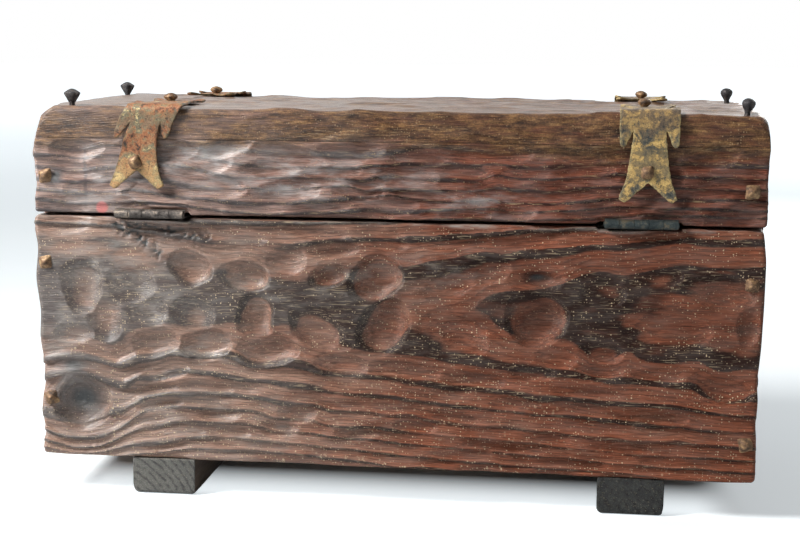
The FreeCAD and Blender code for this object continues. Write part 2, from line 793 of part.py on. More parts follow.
def make_lid():
    end_x = "(chest_length / 2)"
    end_drills = lid_back_nails.drills + lid_front_nails.drills + corner_studs.drills
    mortises = [make_mortise("left"), make_mortise("right")]
    return [
        drilled_board("lid_back_board", "chest_length", "lid_frame_height", "board_thickness", "back",
                      ("0", BACK_FACE, LID_BOTTOM),
                      lid_back_nails.drills + strap_face_nails.drills + corner_studs.drills
                      + lid_hinge_screws.drills + mortises),
        drilled_board("lid_front_board", "chest_length", "lid_frame_height", "board_thickness", "front",
                      ("0", f"-1 * {BACK_FACE}", LID_BOTTOM),
                      lid_front_nails.drills + strap_face_nails.drills + corner_studs.drills),
        drilled_board("lid_end_left", INNER_DEPTH, "lid_frame_height", "board_thickness", "left",
                      (f"-1 * {end_x}", "0", LID_BOTTOM), end_drills, False),
        drilled_board("lid_end_right", INNER_DEPTH, "lid_frame_height", "board_thickness", "right",
                      (end_x, "0", LID_BOTTOM), end_drills, False),
        drilled_board("lid_top_board", "chest_length", "chest_depth", "top_board_thickness", "up",
                      ("0", BACK_FACE, LID_TOP), strap_top_nails.drills + corner_studs.drills,
                      arris="lid_arris_radius"),
    ]


def make_hinges():
    base_knuckles = range(0, KNUCKLES, 2)
    lid_knuckles = range(1, KNUCKLES, 2)
    pieces = []
    for side in ("left", "right"):
        pieces.append(make_leaf(f"hinge_{side}_base_leaf", side, BASE_TOP, base_knuckles, base_hinge_screws))
        pieces.append(make_leaf(f"hinge_{side}_lid_leaf", side, LID_LEAF_FACE, lid_knuckles, lid_hinge_screws))
        pieces.append(make_pin(f"hinge_{side}_pin", side))
    return pieces


def make_straps():
    drills = strap_face_nails.drills + strap_top_nails.drills
    return [cut(strap.label, strap.build(), drills) for strap in STRAPS]


FASTENERS = [base_back_nails, base_front_nails, lid_back_nails, lid_front_nails, floor_nails, runner_nails,
             strap_face_nails, strap_top_nails, corner_studs, base_hinge_screws, lid_hinge_screws]

nodes = make_base() + make_lid() + make_hinges() + make_straps() + [item.node() for item in FASTENERS]
doc.recompute()


# -------------------------------------------------------------------- output

def check_document():
    """Stop if any object failed, or any piece has no sound shape."""
    faults = [thing.Name for thing in doc.Objects if {"Invalid", "Error"} & set(thing.State)]
    for node in nodes:
        if node.Shape.isNull() or not node.Shape.isValid() or not node.Shape.Solids:
            faults.append(f"{node.Name} shape")
    if faults:
        sys.exit("failed objects: " + ", ".join(faults))


check_document()
os.makedirs("parts", exist_ok=True)
for node in nodes:
    node.Shape.exportStep(f"parts/{node.Label}.step")
print(f"{len(nodes)} nodes written")
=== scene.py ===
"""Coffer chest: the looks, floor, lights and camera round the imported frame.

Row frame: X runs along the chest, the front faces -Y, the hinged back faces +Y
and the camera, Z is up. Lengths are in millimetres here, and metres in Blender.
Each board is shaped in a flat space of its own: u runs along it, v across its
face, and w out of its face, with w = 0 on the outer face. On the back, u is the
distance from the picture's left end, and v the height above the base's underside.
"""
import itertools
import math

import bpy
import numpy as np
from mathutils import Matrix, Vector, geometry


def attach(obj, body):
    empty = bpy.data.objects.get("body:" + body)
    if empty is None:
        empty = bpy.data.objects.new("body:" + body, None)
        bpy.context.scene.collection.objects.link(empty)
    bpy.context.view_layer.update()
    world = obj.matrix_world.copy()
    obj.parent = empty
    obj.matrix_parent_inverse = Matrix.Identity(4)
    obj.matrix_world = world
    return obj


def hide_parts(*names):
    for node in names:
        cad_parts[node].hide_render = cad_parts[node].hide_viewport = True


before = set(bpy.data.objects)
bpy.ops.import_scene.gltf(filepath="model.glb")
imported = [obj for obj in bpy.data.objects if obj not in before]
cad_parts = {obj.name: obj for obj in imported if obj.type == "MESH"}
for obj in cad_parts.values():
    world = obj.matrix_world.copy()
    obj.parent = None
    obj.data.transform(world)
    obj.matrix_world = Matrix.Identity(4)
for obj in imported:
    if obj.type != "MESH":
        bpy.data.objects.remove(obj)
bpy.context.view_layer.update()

MM = 0.001

# ------------------------------------------------------------------ the chest's sizes

LENGTH, DEPTH = 540.0, 235.0
HALF_LENGTH, HALF_DEPTH = LENGTH / 2, DEPTH / 2
THICK = 22.0
END_LENGTH = DEPTH - 2 * THICK

# Heights above the floor.
RUNNER_TOP = 28.0
LID_TOP = 295.4

# Heights above the base's underside, as v has them.
BASE_BACK_TOP = 184.5
BASE_TOP = 186.9
LID_FRAME_TOP = 242.9
TOP_EDGE = 267.4

# The notches for the hinges: distance from the picture's left end, and half width.
HINGES = ((92.0, 28.5), (450.5, 30.0))


# ------------------------------------------------------------------------ noise and shapes

def smooth(t):
    """0 below 0, 1 above 1, and a soft step between."""
    t = np.clip(t, 0.0, 1.0)
    return t * t * (3.0 - 2.0 * t)


def lattice(cell, seed):
    """A repeatable random number from -1 to 1 for each whole-numbered cell."""
    x, y, z = (cell[:, k].astype(np.int64).astype(np.uint32) for k in range(3))
    with np.errstate(over="ignore"):
        h = x * np.uint32(374761393) + y * np.uint32(668265263) + z * np.uint32(2246822519)
        h = h + np.uint32(seed * 974634777 % 4294967296)
        h = (h ^ (h >> np.uint32(13))) * np.uint32(1274126177)
        h = h ^ (h >> np.uint32(16))
    return h / 2147483648.0 - 1.0


def noise(points, size, seed):
    """Soft noise from -1 to 1, with bumps of the given size (one number or one an axis)."""
    p = points / (np.ones(3) * size)
    cell = np.floor(p)
    part = p - cell
    part = part * part * part * (part * (part * 6.0 - 15.0) + 10.0)
    total = np.zeros(len(points))
    for corner in itertools.product((0, 1), repeat=3):
        weight = np.prod(np.where(corner, part, 1.0 - part), axis=1)
        total += weight * lattice(cell + corner, seed)
    return total


def stack(u, v, w=0.0):
    """One row of coordinates a point."""
    return np.column_stack([u, v, np.zeros(len(u)) + w])


def dishes(u, v, gouges, skew):
    """The depth of overlapping gouges (u, v, length, width, tilt in degrees, depth).

    skew makes each one deeper towards one side.
    """
    deepest = np.zeros(len(u))
    ragged = 0.22 * noise(stack(u, v), (17.0, 11.0, 30.0), 7)
    for gu, gv, long, short, tilt, depth in gouges:
        near = np.nonzero(np.hypot(u - gu, v - gv) < 0.55 * max(long, short))[0]
        c, s = math.cos(math.radians(tilt)), math.sin(math.radians(tilt))
        du, dv = u[near] - gu, v[near] - gv
        a, b = (du * c + dv * s) * 2 / long, (dv * c - du * s) * 2 / short
        inside = np.clip(1.0 - a * a - b * b + ragged[near], 0.0, 1.0)
        hollow = depth * inside ** 0.8 * (1.0 + skew * (a - b))
        deepest[near] = np.maximum(deepest[near], hollow)
    return deepest


def scattered_gouges(length, height, pitch, sizes, seed, low=0.0):
    """Gouges in loose rows over a face, from low up. sizes is (length, width, depth)."""
    rng = np.random.RandomState(seed)
    columns, rows = (max(1, int(round(n / p))) for n, p in zip((length, height), pitch))
    gouges = []
    for row in range(rows):
        for column in range(columns):
            u = (column + 0.5 + 0.5 * (row % 2) + rng.uniform(-0.28, 0.28)) * length / columns
            v = low + (row + 0.5 + rng.uniform(-0.25, 0.25)) * height / rows
            wide, tall, deep = (s * rng.uniform(0.75, 1.25) for s in sizes)
            gouges.append((u, v, wide, tall, rng.uniform(-20, 20), deep))
    return gouges


def latewood(ring, start=0.5, rise=0.3):
    """How much dark, hard wood there is: it starts softly within a ring and ends sharply."""
    part = ring - np.floor(ring)
    return smooth((part - start) / rise) * (1.0 - smooth((part - 0.93) / 0.07))


def height_at(u, curve, around=(-4.0, 0.0, 4.0)):
    """The height of a drawn line (u, v), a little rounded at its corners."""
    along, up = zip(*curve)
    return sum(np.interp(u + k, along, up) for k in around) / len(around)


def count_rings(away, levels, rings):
    """Ring numbers: levels are rising distances, and rings the numbers reached there."""
    ring = rings[0] + 0.0 * away
    for k in range(len(levels) - 1):
        gap = np.maximum(levels[k + 1] - levels[k], 0.01)
        ring = ring + (rings[k + 1] - rings[k]) * np.clip((away - levels[k]) / gap, 0.0, 1.0)
    return ring


def soft_spots(u, v, spots):
    """The strongest of soft round patches (u, v, width, height, strength)."""
    most = np.zeros(len(u))
    for su, sv, width, height, strength in spots:
        away = ((u - su) * 2 / width) ** 2 + ((v - sv) * 2 / height) ** 2
        most = np.maximum(most, strength * np.exp(-away))
    return most


# --------------------------------------------------------------------------- box grids

def lines(low, high, step, edge):
    """Grid lines with closer ones in the rounding at both ends."""
    near = edge * np.array([0.0, 0.25, 0.5, 0.75])
    middle = np.linspace(low + edge, high - edge, max(2, int((high - low - 2 * edge) / step) + 1))
    return np.concatenate([low + near, middle, high - near[::-1]])


def box_grid(u, v, w):
    """The points on the faces of a box of grid lines, and their numbers in it."""
    shell = np.zeros((len(u), len(v), len(w)), bool)
    shell[[0, -1]] = shell[:, [0, -1]] = shell[:, :, [0, -1]] = True
    index = np.full(shell.shape, -1)
    index[shell] = np.arange(shell.sum())
    i, j, k = np.nonzero(shell)
    return np.column_stack([u[i], v[j], w[k]]), index


def round_box(points, low, high, radius):
    """Rounds a box's edges by a radius of its own for each point."""
    r = radius[:, None]
    core = np.clip(points, low + r, high - r)
    out = points - core
    out /= np.maximum(np.linalg.norm(out, axis=1), 1e-9)[:, None]
    return core + out * r


def quads(ids):
    """One face between each four neighbours of a grid of point numbers."""
    corners = ids[:-1, :-1], ids[1:, :-1], ids[1:, 1:], ids[:-1, 1:]
    return np.stack(corners, axis=-1).reshape(-1, 4).tolist()


def cells(ids, step):
    """Large flat faces for a side within, which keep every point on its rim."""
    rows, columns = (sorted({*range(0, n - 1, step), n - 1}) for n in ids.shape)
    last_row, last_column = ids.shape[0] - 1, ids.shape[1] - 1
    faces = []
    for a, b in zip(rows, rows[1:]):
        for c, d in zip(columns, columns[1:]):
            along = list(range(a, b)) if c == 0 else [a]
            up = list(range(c, d)) if b == last_row else [c]
            back = list(range(b, a, -1)) if d == last_column else [b]
            down = list(range(d, c, -1)) if a == 0 else [d]
            loop = [ids[i, c] for i in along] + [ids[b, j] for j in up]
            loop += [ids[i, d] for i in back] + [ids[a, j] for j in down]
            faces.append([int(n) for n in loop])
    return faces


def make_piece(name, vertices, faces, body, node, skins, skin_of=None, smooth_of=None,
               facts=None):
    """A mesh from points in mm, riding on a body and standing for a CAD node.

    facts are numbers for each point, which the finishes read by name.
    """
    mesh = bpy.data.meshes.new(name)
    mesh.from_pydata((np.asarray(vertices) * MM).tolist(), [], faces)
    for skin in skins:
        mesh.materials.append(skin)
    if skin_of is not None:
        mesh.polygons.foreach_set("material_index", skin_of)
    mesh.polygons.foreach_set("use_smooth", [True] * len(faces) if smooth_of is None else smooth_of)
    for fact, values in (facts or {}).items():
        layer = mesh.attributes.new(fact, "FLOAT", "POINT")
        layer.data.foreach_set("value", np.asarray(values, np.float32))
    mesh.validate()
    piece = bpy.data.objects.new(name, mesh)
    bpy.context.scene.collection.objects.link(piece)
    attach(piece, body)
    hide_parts(node)
    return piece


def make_board(name, node, body, place, low, high, step, radius, shape, grain, skins,
               cuts=(), edge=4.0):
    """A board as a box grid: rounded, then carved by shape, then put in its place.

    place puts u, v and w in the frame. radius(u, v, w) is the rounding at a point.
    shape(u, v, w) gives the carved u, v and w and the facts for the finish, and
    grain(u, v, w) the ring number and how much dark wood there is.
    """
    low, high = np.array(low, float), np.array(high, float)
    grid = [lines(low[k], high[k], step, edge) for k in (0, 1)]
    across = np.union1d(lines(low[2], high[2], 6.0, edge), cuts)
    points, index = box_grid(grid[0], grid[1], across)
    points = round_box(points, low, high, radius(*points.T))
    u, v, w, facts = shape(*points.T)
    facts["ring"], facts["late"] = grain(u, v, w)
    outer = index[:, :, -1], index[-1], index[0].T, index[:, -1].T, index[:, 0]
    faces = [f for side in outer for f in quads(side)]
    inner = cells(index[:, :, 0].T, 12)
    skin_of = [0] * len(faces) + [1] * len(inner)
    smooth_of = [True] * len(faces) + [False] * len(inner)
    return make_piece(name, place(u, v, w), faces + inner, body, node, skins,
                      skin_of, smooth_of, facts)


# ------------------------------------------------------------ from a face's space to the frame

def on_back(u, v, w):
    return np.column_stack([HALF_LENGTH - u, HALF_DEPTH + w, v + RUNNER_TOP])


def on_front(u, v, w):
    return np.column_stack([u - HALF_LENGTH, -HALF_DEPTH - w, v + RUNNER_TOP])


def on_right_end(u, v, w):
    return np.column_stack([HALF_LENGTH + w, u - END_LENGTH / 2, v + RUNNER_TOP])


def on_left_end(u, v, w):
    return np.column_stack([-HALF_LENGTH - w, END_LENGTH / 2 - u, v + RUNNER_TOP])


def on_top(u, v, w):
    return np.column_stack([HALF_LENGTH - u, HALF_DEPTH - v, LID_TOP + w])


# ----------------------------------------------------------------------------- materials

class Nodes:
    """A material's node tree, with short ways to add to it."""

    def __init__(self, name):
        self.material = bpy.data.materials.new(name)
        self.material.use_nodes = True
        self.tree = self.material.node_tree
        self.shader = self.tree.nodes["Principled BSDF"]
        self.place = self.tree.nodes.new("ShaderNodeTexCoord").outputs["Object"]

    def set(self, socket, value):
        if isinstance(value, bpy.types.NodeSocket):
            self.tree.links.new(value, socket)
        elif isinstance(value, tuple) and len(value) == 3 and socket.type == "RGBA":
            socket.default_value = (*value, 1.0)
        else:
            socket.default_value = value

    def add(self, kind, inputs, **settings):
        node = self.tree.nodes.new("ShaderNode" + kind)
        for setting, value in settings.items():
            setattr(node, setting, value)
        for key, value in inputs.items():
            self.set(node.inputs[key], value)
        return node

    def fact(self, name):
        """A number that the mesh keeps at its points."""
        node = self.add("Attribute", {}, attribute_type="GEOMETRY", attribute_name=name)
        return node.outputs["Fac"]

    def stretch(self, scale, offset=(0.0, 0.0, 0.0)):
        """The place on the object in cells, scale of them a metre along each axis."""
        node = self.add("Mapping", {"Vector": self.place, "Scale": scale, "Location": offset})
        return node.outputs["Vector"]

    def noise(self, scale, detail=3.0, rough=0.5, offset=(0.0, 0.0, 0.0), twist=0.0):
        inputs = {"Vector": self.stretch(scale, offset), "Scale": 1.0, "Detail": detail,
                  "Roughness": rough, "Distortion": twist}
        return self.add("TexNoise", inputs).outputs["Fac"]

    def dots(self, cell, offset=(0.0, 0.0, 0.0)):
        """Small round flecks of mixed sizes, at most one to a cell."""
        inputs = {"Vector": self.stretch((1.0 / cell,) * 3, offset), "Scale": 1.0, "Randomness": 1.0}
        voronoi = self.add("TexVoronoi", inputs)
        luck = self.add("SeparateColor", {"Color": voronoi.outputs["Color"]}).outputs[0]
        size = self.span(luck, 0.2, 1.0, 0.03, 0.36)
        return self.times(self.minus(size, voronoi.outputs["Distance"]), 9.0, True)

    def math(self, operation, a, b=0.0, clamp=False):
        node = self.add("Math", {0: a, 1: b}, operation=operation, use_clamp=clamp)
        return node.outputs[0]

    def plus(self, a, b, clamp=False):
        return self.math("ADD", a, b, clamp)

    def minus(self, a, b, clamp=False):
        return self.math("SUBTRACT", a, b, clamp)

    def times(self, a, b, clamp=False):
        return self.math("MULTIPLY", a, b, clamp)

    def span(self, value, low, high, to_low=0.0, to_high=1.0):
        """value from low to high becomes to_low to to_high, softly, and stays inside."""
        inputs = {"Value": value, "From Min": low, "From Max": high,
                  "To Min": to_low, "To Max": to_high}
        node = self.add("MapRange", inputs, interpolation_type="SMOOTHSTEP")
        return node.outputs["Result"]

    def ramp(self, value, stops):
        """Colours or greys between (position, colour or grey) stops."""
        node = self.add("ValToRGB", {"Fac": value})
        band = node.color_ramp
        while len(band.elements) < len(stops):
            band.elements.new(0.5)
        for element, (position, shade) in zip(band.elements, stops):
            element.position = position
            element.color = (shade, shade, shade, 1.0) if isinstance(shade, float) else (*shade, 1.0)
        return node.outputs["Color"]

    def mix(self, amount, a, b, blend="MIX"):
        node = self.add("Mix", {"Factor": amount}, data_type="RGBA", blend_type=blend)
        self.set(node.inputs[6], a)
        self.set(node.inputs[7], b)
        return node.outputs[2]

    def bump(self, height, distance, strength):
        inputs = {"Height": height, "Distance": distance, "Strength": strength}
        return self.add("Bump", inputs).outputs["Normal"]

    def finish(self, **sockets):
        """Sets the shader's sockets, whose names have _ for each space."""
        for key, value in sockets.items():
            self.set(self.shader.inputs[key.replace("_", " ")], value)
        return self.material


def tone(red, green, blue):
    """A colour written as it looks (0 to 255), as the linear colour that nodes take."""
    parts = (c / 255.0 for c in (red, green, blue))
    return tuple(p / 12.92 if p <= 0.04045 else ((p + 0.055) / 1.055) ** 2.4 for p in parts)


def tones(*colours):
    return [tone(*colour) for colour in colours]


ALONG_X, ALONG_Y = (1.0, 0.0, 0.0), (0.0, 1.0, 0.0)
SOOT = tone(46, 50, 52)


def grain_scale(along, length, width):
    """Cells a metre: few along the grain, many across it."""
    return tuple(1.0 / length if axis else 1.0 / width for axis in along)


def carved_wood(name, left, right, late, dust_and_sheen, fleck, along=ALONG_X, flecks=0.5, shift=0.0,
                dusted=None, dab=None):
    """Scorched, brushed and waxed softwood with raised dark rings.

    left and right are the colours of its soft wood at the picture's two ends, and late
    those of its rings there. The left ones are lighter and greyer: painted sheen. The colour
    that follows late is laid where painted sheen is strong, and faintly everywhere: painted
    sheen, and dust. fleck is bare wood that shows in dark grain and in chips. dusted are the
    colours of the old dusty coat on the lid's edge, and dab is a spot of paint. The mesh says
    where each of these is.
    """
    n = Nodes(name)
    offset = (shift, shift * 2, shift * 3)

    def streaks(length, width, detail=4.0, rough=0.65, at=offset):
        """Noise drawn out along the grain, in cells of length by width in metres."""
        return n.noise(grain_scale(along, length, width), detail, rough, at)

    hollow, pale, char, dusty, chips = (n.fact(k) for k in ("hollow", "pale", "char", "dusty", "chips"))
    wobble = streaks(0.020, 0.0035)
    dark = n.span(n.plus(n.fact("late"), n.times(n.minus(wobble, 0.5), 0.75)), 0.20, 0.78)
    fine = n.plus(n.times(n.fact("ring"), 5.0), n.times(wobble, 1.6))
    fine = n.ramp(n.math("FRACT", fine), [(0.0, 0.0), (0.5, 0.15), (0.86, 1.0), (0.98, 0.0)])

    # Soft wood, greyer and lighter to the picture's left as painted sheen, and redder to its right.
    x = n.add("SeparateXYZ", {"Vector": n.place}).outputs[0]
    cloud = n.noise((14.0, 18.0, 22.0), 4.0, 0.6, offset)
    side = n.plus(n.span(x, 0.21, -0.12), n.times(n.minus(cloud, 0.5), 0.9), True)
    ruddy = n.times(n.minus(streaks(0.060, 0.0045, at=(shift, 7.0, 5.0)), 0.5), 1.2)
    clean = n.mix(n.plus(side, ruddy, True), left, right)

    # Dark wood: smoke, fine rings, the raised rings, charred places, and dark streaks in the hollows that
    # grow with depth.
    # The dark wood's colour is also greyer and lighter to the picture's left: painted sheen.
    late = n.mix(n.span(x, 0.26, 0.02), late[0], late[1])
    hollow_streaks = n.span(streaks(0.024, 0.0020, rough=0.75, at=(shift, 5.0, 7.0)), 0.42, 0.58)
    shade = clean
    for share in (n.span(streaks(0.045, 0.018), 0.46, 0.74, 0.0, 0.36), n.times(fine, 0.42),
                  n.times(dark, 0.92), n.times(char, 0.9),
                  n.times(hollow_streaks, n.span(hollow, 0.35, 1.1, 0.0, 0.6))):
        shade = n.mix(share, shade, late)
    scooped = n.times(n.span(hollow, 0.5, 1.2, 0.0, 0.42), n.minus(1.0, char, True))
    shade = n.mix(scooped, shade, clean)
    shade = n.mix(n.span(char, 0.72, 1.0, 0.0, 0.9), shade, SOOT)
    if dusted:
        grime = n.ramp(streaks(0.012, 0.0032, rough=0.7), list(zip((0.32, 0.5, 0.66), dusted)))
        grit = n.noise((900.0, 900.0, 900.0), 2.0, 0.7, offset)
        grime = n.mix(0.7, grime, n.ramp(grit, [(0.34, 0.30), (0.5, 0.5), (0.66, 0.74)]), "OVERLAY")
        patch = n.span(streaks(0.040, 0.008, at=(shift, 4.0, 8.0)), 0.34, 0.56, 0.4, 0.95)
        shade = n.mix(n.times(dusty, patch), shade, grime)

    # Brushed fibres, painted sheen with dust in streaks, and bare wood in the dark grain and in the chips.
    fibre = streaks(0.020, 0.0008, 3.0, 0.7)
    shade = n.mix(1.0, shade, n.ramp(fibre, [(0.28, 0.28), (0.5, 0.54), (0.72, 0.86)]), "OVERLAY")
    # Painted sheen: streaks of a greyer, lighter colour where the mesh marks sheen, and faintly everywhere
    # as dust.
    dust_and_sheen_streaks = n.span(streaks(0.030, 0.009, at=(shift + 3.0, 1.0, 2.0)), 0.38, 0.72)
    dust_and_sheen_streaks = n.times(dust_and_sheen_streaks, n.plus(pale, 0.12), True)
    shade = n.mix(n.times(dust_and_sheen_streaks, n.span(dusty, 0.6, 1.0, 1.0, 0.25)), shade, dust_and_sheen)
    bare = n.span(streaks(0.012, 0.0008, 2.0, 0.6, (shift + 6.0, 2.0, 1.0)), 0.56, 0.70)
    bare = n.times(bare, n.minus(dark, char, True))
    shade = n.mix(n.times(bare, 0.42), shade, fleck)
    where = n.noise((22.0, 26.0, 36.0), 6.0, 0.8, (shift, 9.0, 4.0))
    speck = n.times(n.dots(0.0018, offset), n.plus(n.span(where, 0.42, 0.60, 0.12, 1.0), chips, True))
    speck = n.math("MAXIMUM", speck, n.times(n.dots(0.0032, offset), chips))
    speck = n.times(speck, n.minus(1.15, char, True))
    shade = n.mix(n.times(speck, flecks), shade, fleck)
    if dab:
        shade = n.mix(n.times(n.fact("dab"), n.span(fibre, 0.2, 0.5, 0.55, 0.95)), shade, dab)

    relief = n.plus(n.plus(fibre, n.times(fine, 0.4)), n.times(speck, 0.8))
    gloss = n.span(n.noise((40.0, 60.0, 60.0), 4.0, 0.6, offset), 0.3, 0.7, 0.33, 0.48)
    wax = n.plus(n.span(side, 0.0, 0.8, 0.16, 0.0), n.span(pale, 0.3, 1.0, 0.0, 0.13))
    return n.finish(Base_Color=shade, Normal=n.bump(relief, 0.0008, 0.8),
                    Roughness=n.plus(gloss, n.times(speck, 0.3), True),
                    Specular_IOR_Level=n.span(side, 0.1, 0.9, 0.50, 0.14),
                    Coat_Weight=n.plus(wax, n.times(n.fact("waxed"), 0.34), True), Coat_Roughness=0.33)


def plain_wood(name, light, dark, along=ALONG_X):
    """Sawn bare wood for the inside, with growth lines and saw marks."""
    n = Nodes(name)
    middle = tuple((a + b) / 2 for a, b in zip(light, dark))
    growth = n.noise(grain_scale(along, 0.24, 0.006), 4.0, 0.6, twist=0.6)
    shade = n.ramp(growth, [(0.3, light), (0.5, middle), (0.7, dark)])
    fibre = n.noise(grain_scale(along, 0.02, 0.0008), 3.0, 0.6)
    shade = n.mix(0.5, shade, n.ramp(fibre, [(0.25, 0.35), (0.75, 0.68)]), "OVERLAY")
    stain = n.noise((7.0, 9.0, 9.0), 4.0, 0.65)
    shade = n.mix(n.span(stain, 0.5, 0.75, 0.0, 0.5), shade, dark)
    saw = n.add("TexWave", {"Vector": n.stretch((1.0, 1.0, 1.0)), "Scale": 90.0, "Distortion": 3.0},
                wave_type="BANDS", bands_direction="X" if along is ALONG_X else "Y")
    relief = n.plus(fibre, n.times(saw.outputs["Fac"], 0.3))
    return n.finish(Base_Color=shade, Roughness=n.span(fibre, 0.3, 0.7, 0.54, 0.72),
                    Normal=n.bump(relief, 0.0004, 0.6))


def old_iron(name, shades, size, metal, pit=0.0003, shift=0.0, tints=(), edge=None):
    """Forged iron: shades run from the deepest rust to the brightest scale, in patches of a size.

    A tint is a colour, the height that it is strongest at, how far it reaches and its
    strength. edge is the colour that the plate's rim takes.
    """
    n = Nodes(name)

    def patchy(finer, detail, rough, at=(shift, shift, shift), twist=0.0):
        return n.noise((1.0 / size * finer,) * 3, detail, rough, at, twist)

    flakes = patchy(2.6, 4.0, 0.7)
    patches = n.plus(n.times(patchy(1.0, 4.0, 0.65, twist=0.6), 0.65), n.times(flakes, 0.35))
    last = len(shades) - 1
    shade = n.ramp(patches, [(0.38 + 0.24 * k / last, colour) for k, colour in enumerate(shades)])
    height = n.add("SeparateXYZ", {"Vector": n.place}).outputs[2]
    ragged = n.plus(height, n.times(n.minus(flakes, 0.5), 0.06))
    for tint, level, reach, strength in tints:
        away = n.math("ABSOLUTE", n.minus(ragged, level))
        shade = n.mix(n.span(away, 0.4 * reach, reach, strength, 0.0), shade, tint)
    grit = patchy(12.0, 3.0, 0.6)
    shade = n.mix(0.8, shade, n.ramp(grit, [(0.3, 0.30), (0.7, 0.70)]), "OVERLAY")
    if edge:
        shade = n.mix(n.times(n.fact("rim"), n.span(flakes, 0.40, 0.60, 0.2, 0.85)), shade, edge)
    pits = n.span(patchy(7.0, 3.0, 0.7, (shift, 8.0, 2.0)), 0.56, 0.66, 0.0, 0.7)
    relief = n.minus(n.plus(patchy(2.5, 3.0, 0.6), n.times(grit, 0.35)), n.times(pits, 0.5))
    return n.finish(Base_Color=n.mix(pits, shade, shades[0]), Normal=n.bump(relief, pit, 0.9),
                    Roughness=n.span(patches, 0.35, 0.65, 0.75, 0.45), Metallic=metal)


# Colour pairs run from the picture's left to its right. The left ones are lighter and greyer: painted
# sheen.
BASE_LATE = tones((70, 62, 60), (28, 18, 16))
LID_LATE = tones((66, 58, 60), (34, 24, 24))
RUNNER_LATE = tones((44, 42, 42), (32, 31, 31))
BASE_WOOD = carved_wood("carved_wood_base", tone(142, 111, 94), tone(124, 72, 52), BASE_LATE,
                        tone(150, 144, 138), tone(206, 184, 152), flecks=0.85)
LID_WOOD = carved_wood("carved_wood_lid", tone(146, 118, 106), tone(114, 66, 50), LID_LATE,
                       tone(180, 176, 174), tone(194, 166, 128), flecks=0.45, shift=4.0,
                       dusted=tones((46, 36, 31), (92, 66, 46), (132, 100, 66)), dab=tone(198, 116, 112))
END_WOOD = carved_wood("carved_wood_ends", tone(126, 86, 68), tone(116, 72, 56), BASE_LATE,
                       tone(146, 138, 132), tone(200, 172, 136), ALONG_Y, flecks=0.7, shift=12.0)
# The right runner's end grain is much darker than the left one's: painted shade.
RUNNER_WOOD = carved_wood("runner_end_grain", tone(100, 98, 92), tone(50, 51, 51), RUNNER_LATE,
                          tone(122, 120, 112), tone(150, 140, 120), ALONG_Y, flecks=0.3, shift=16.0)
BARE_X = plain_wood("bare_wood_long", tone(158, 128, 96), tone(104, 76, 54))
BARE_Y = plain_wood("bare_wood_short", tone(154, 124, 92), tone(100, 74, 52), ALONG_Y)
RUNNER_BARE = plain_wood("runner_sawn", tone(92, 78, 66), tone(44, 36, 30), ALONG_Y)

RUST = tones((50, 42, 36), (108, 70, 48), (150, 96, 63), (146, 112, 78), (104, 104, 84), (200, 172, 120))
RUST_STRAP = old_iron("strap_rust", RUST, 0.012, 0.2, pit=0.0005, edge=tone(92, 80, 58),
                      tints=((tone(200, 170, 116), 0.240, 0.020, 0.42),
                             (tone(104, 100, 82), 0.284, 0.008, 0.6)))
OLD_PAINT = tones((38, 44, 48), (74, 74, 68), (112, 98, 72), (190, 156, 94), (210, 178, 112))
DARK_STRAP = old_iron("strap_dark", OLD_PAINT, 0.010, 0.2, pit=0.0005, shift=3.0, edge=tone(176, 156, 108),
                      tints=((tone(112, 88, 66), 0.292, 0.016, 0.5),
                             (tone(190, 158, 100), 0.256, 0.014, 0.30)))
NAIL_IRON = old_iron("nail_rust", tones((66, 52, 42), (122, 92, 66), (166, 136, 96)), 0.006, 0.3,
                     shift=5.0)
STUD_IRON = old_iron("stud_black", tones((44, 42, 44), (64, 62, 64), (92, 84, 78)), 0.006, 0.5,
                     shift=7.0)
HINGE_LEFT = old_iron("hinge_dark", tones((40, 48, 50), (62, 70, 70), (110, 100, 82)), 0.008, 0.6,
                      shift=9.0)
HINGE_RIGHT = old_iron("hinge_tan", tones((54, 49, 46), (98, 92, 88), (142, 128, 114)), 0.007, 0.6,
                       shift=11.0)


# --------------------------------------------------------------------- carving on the back

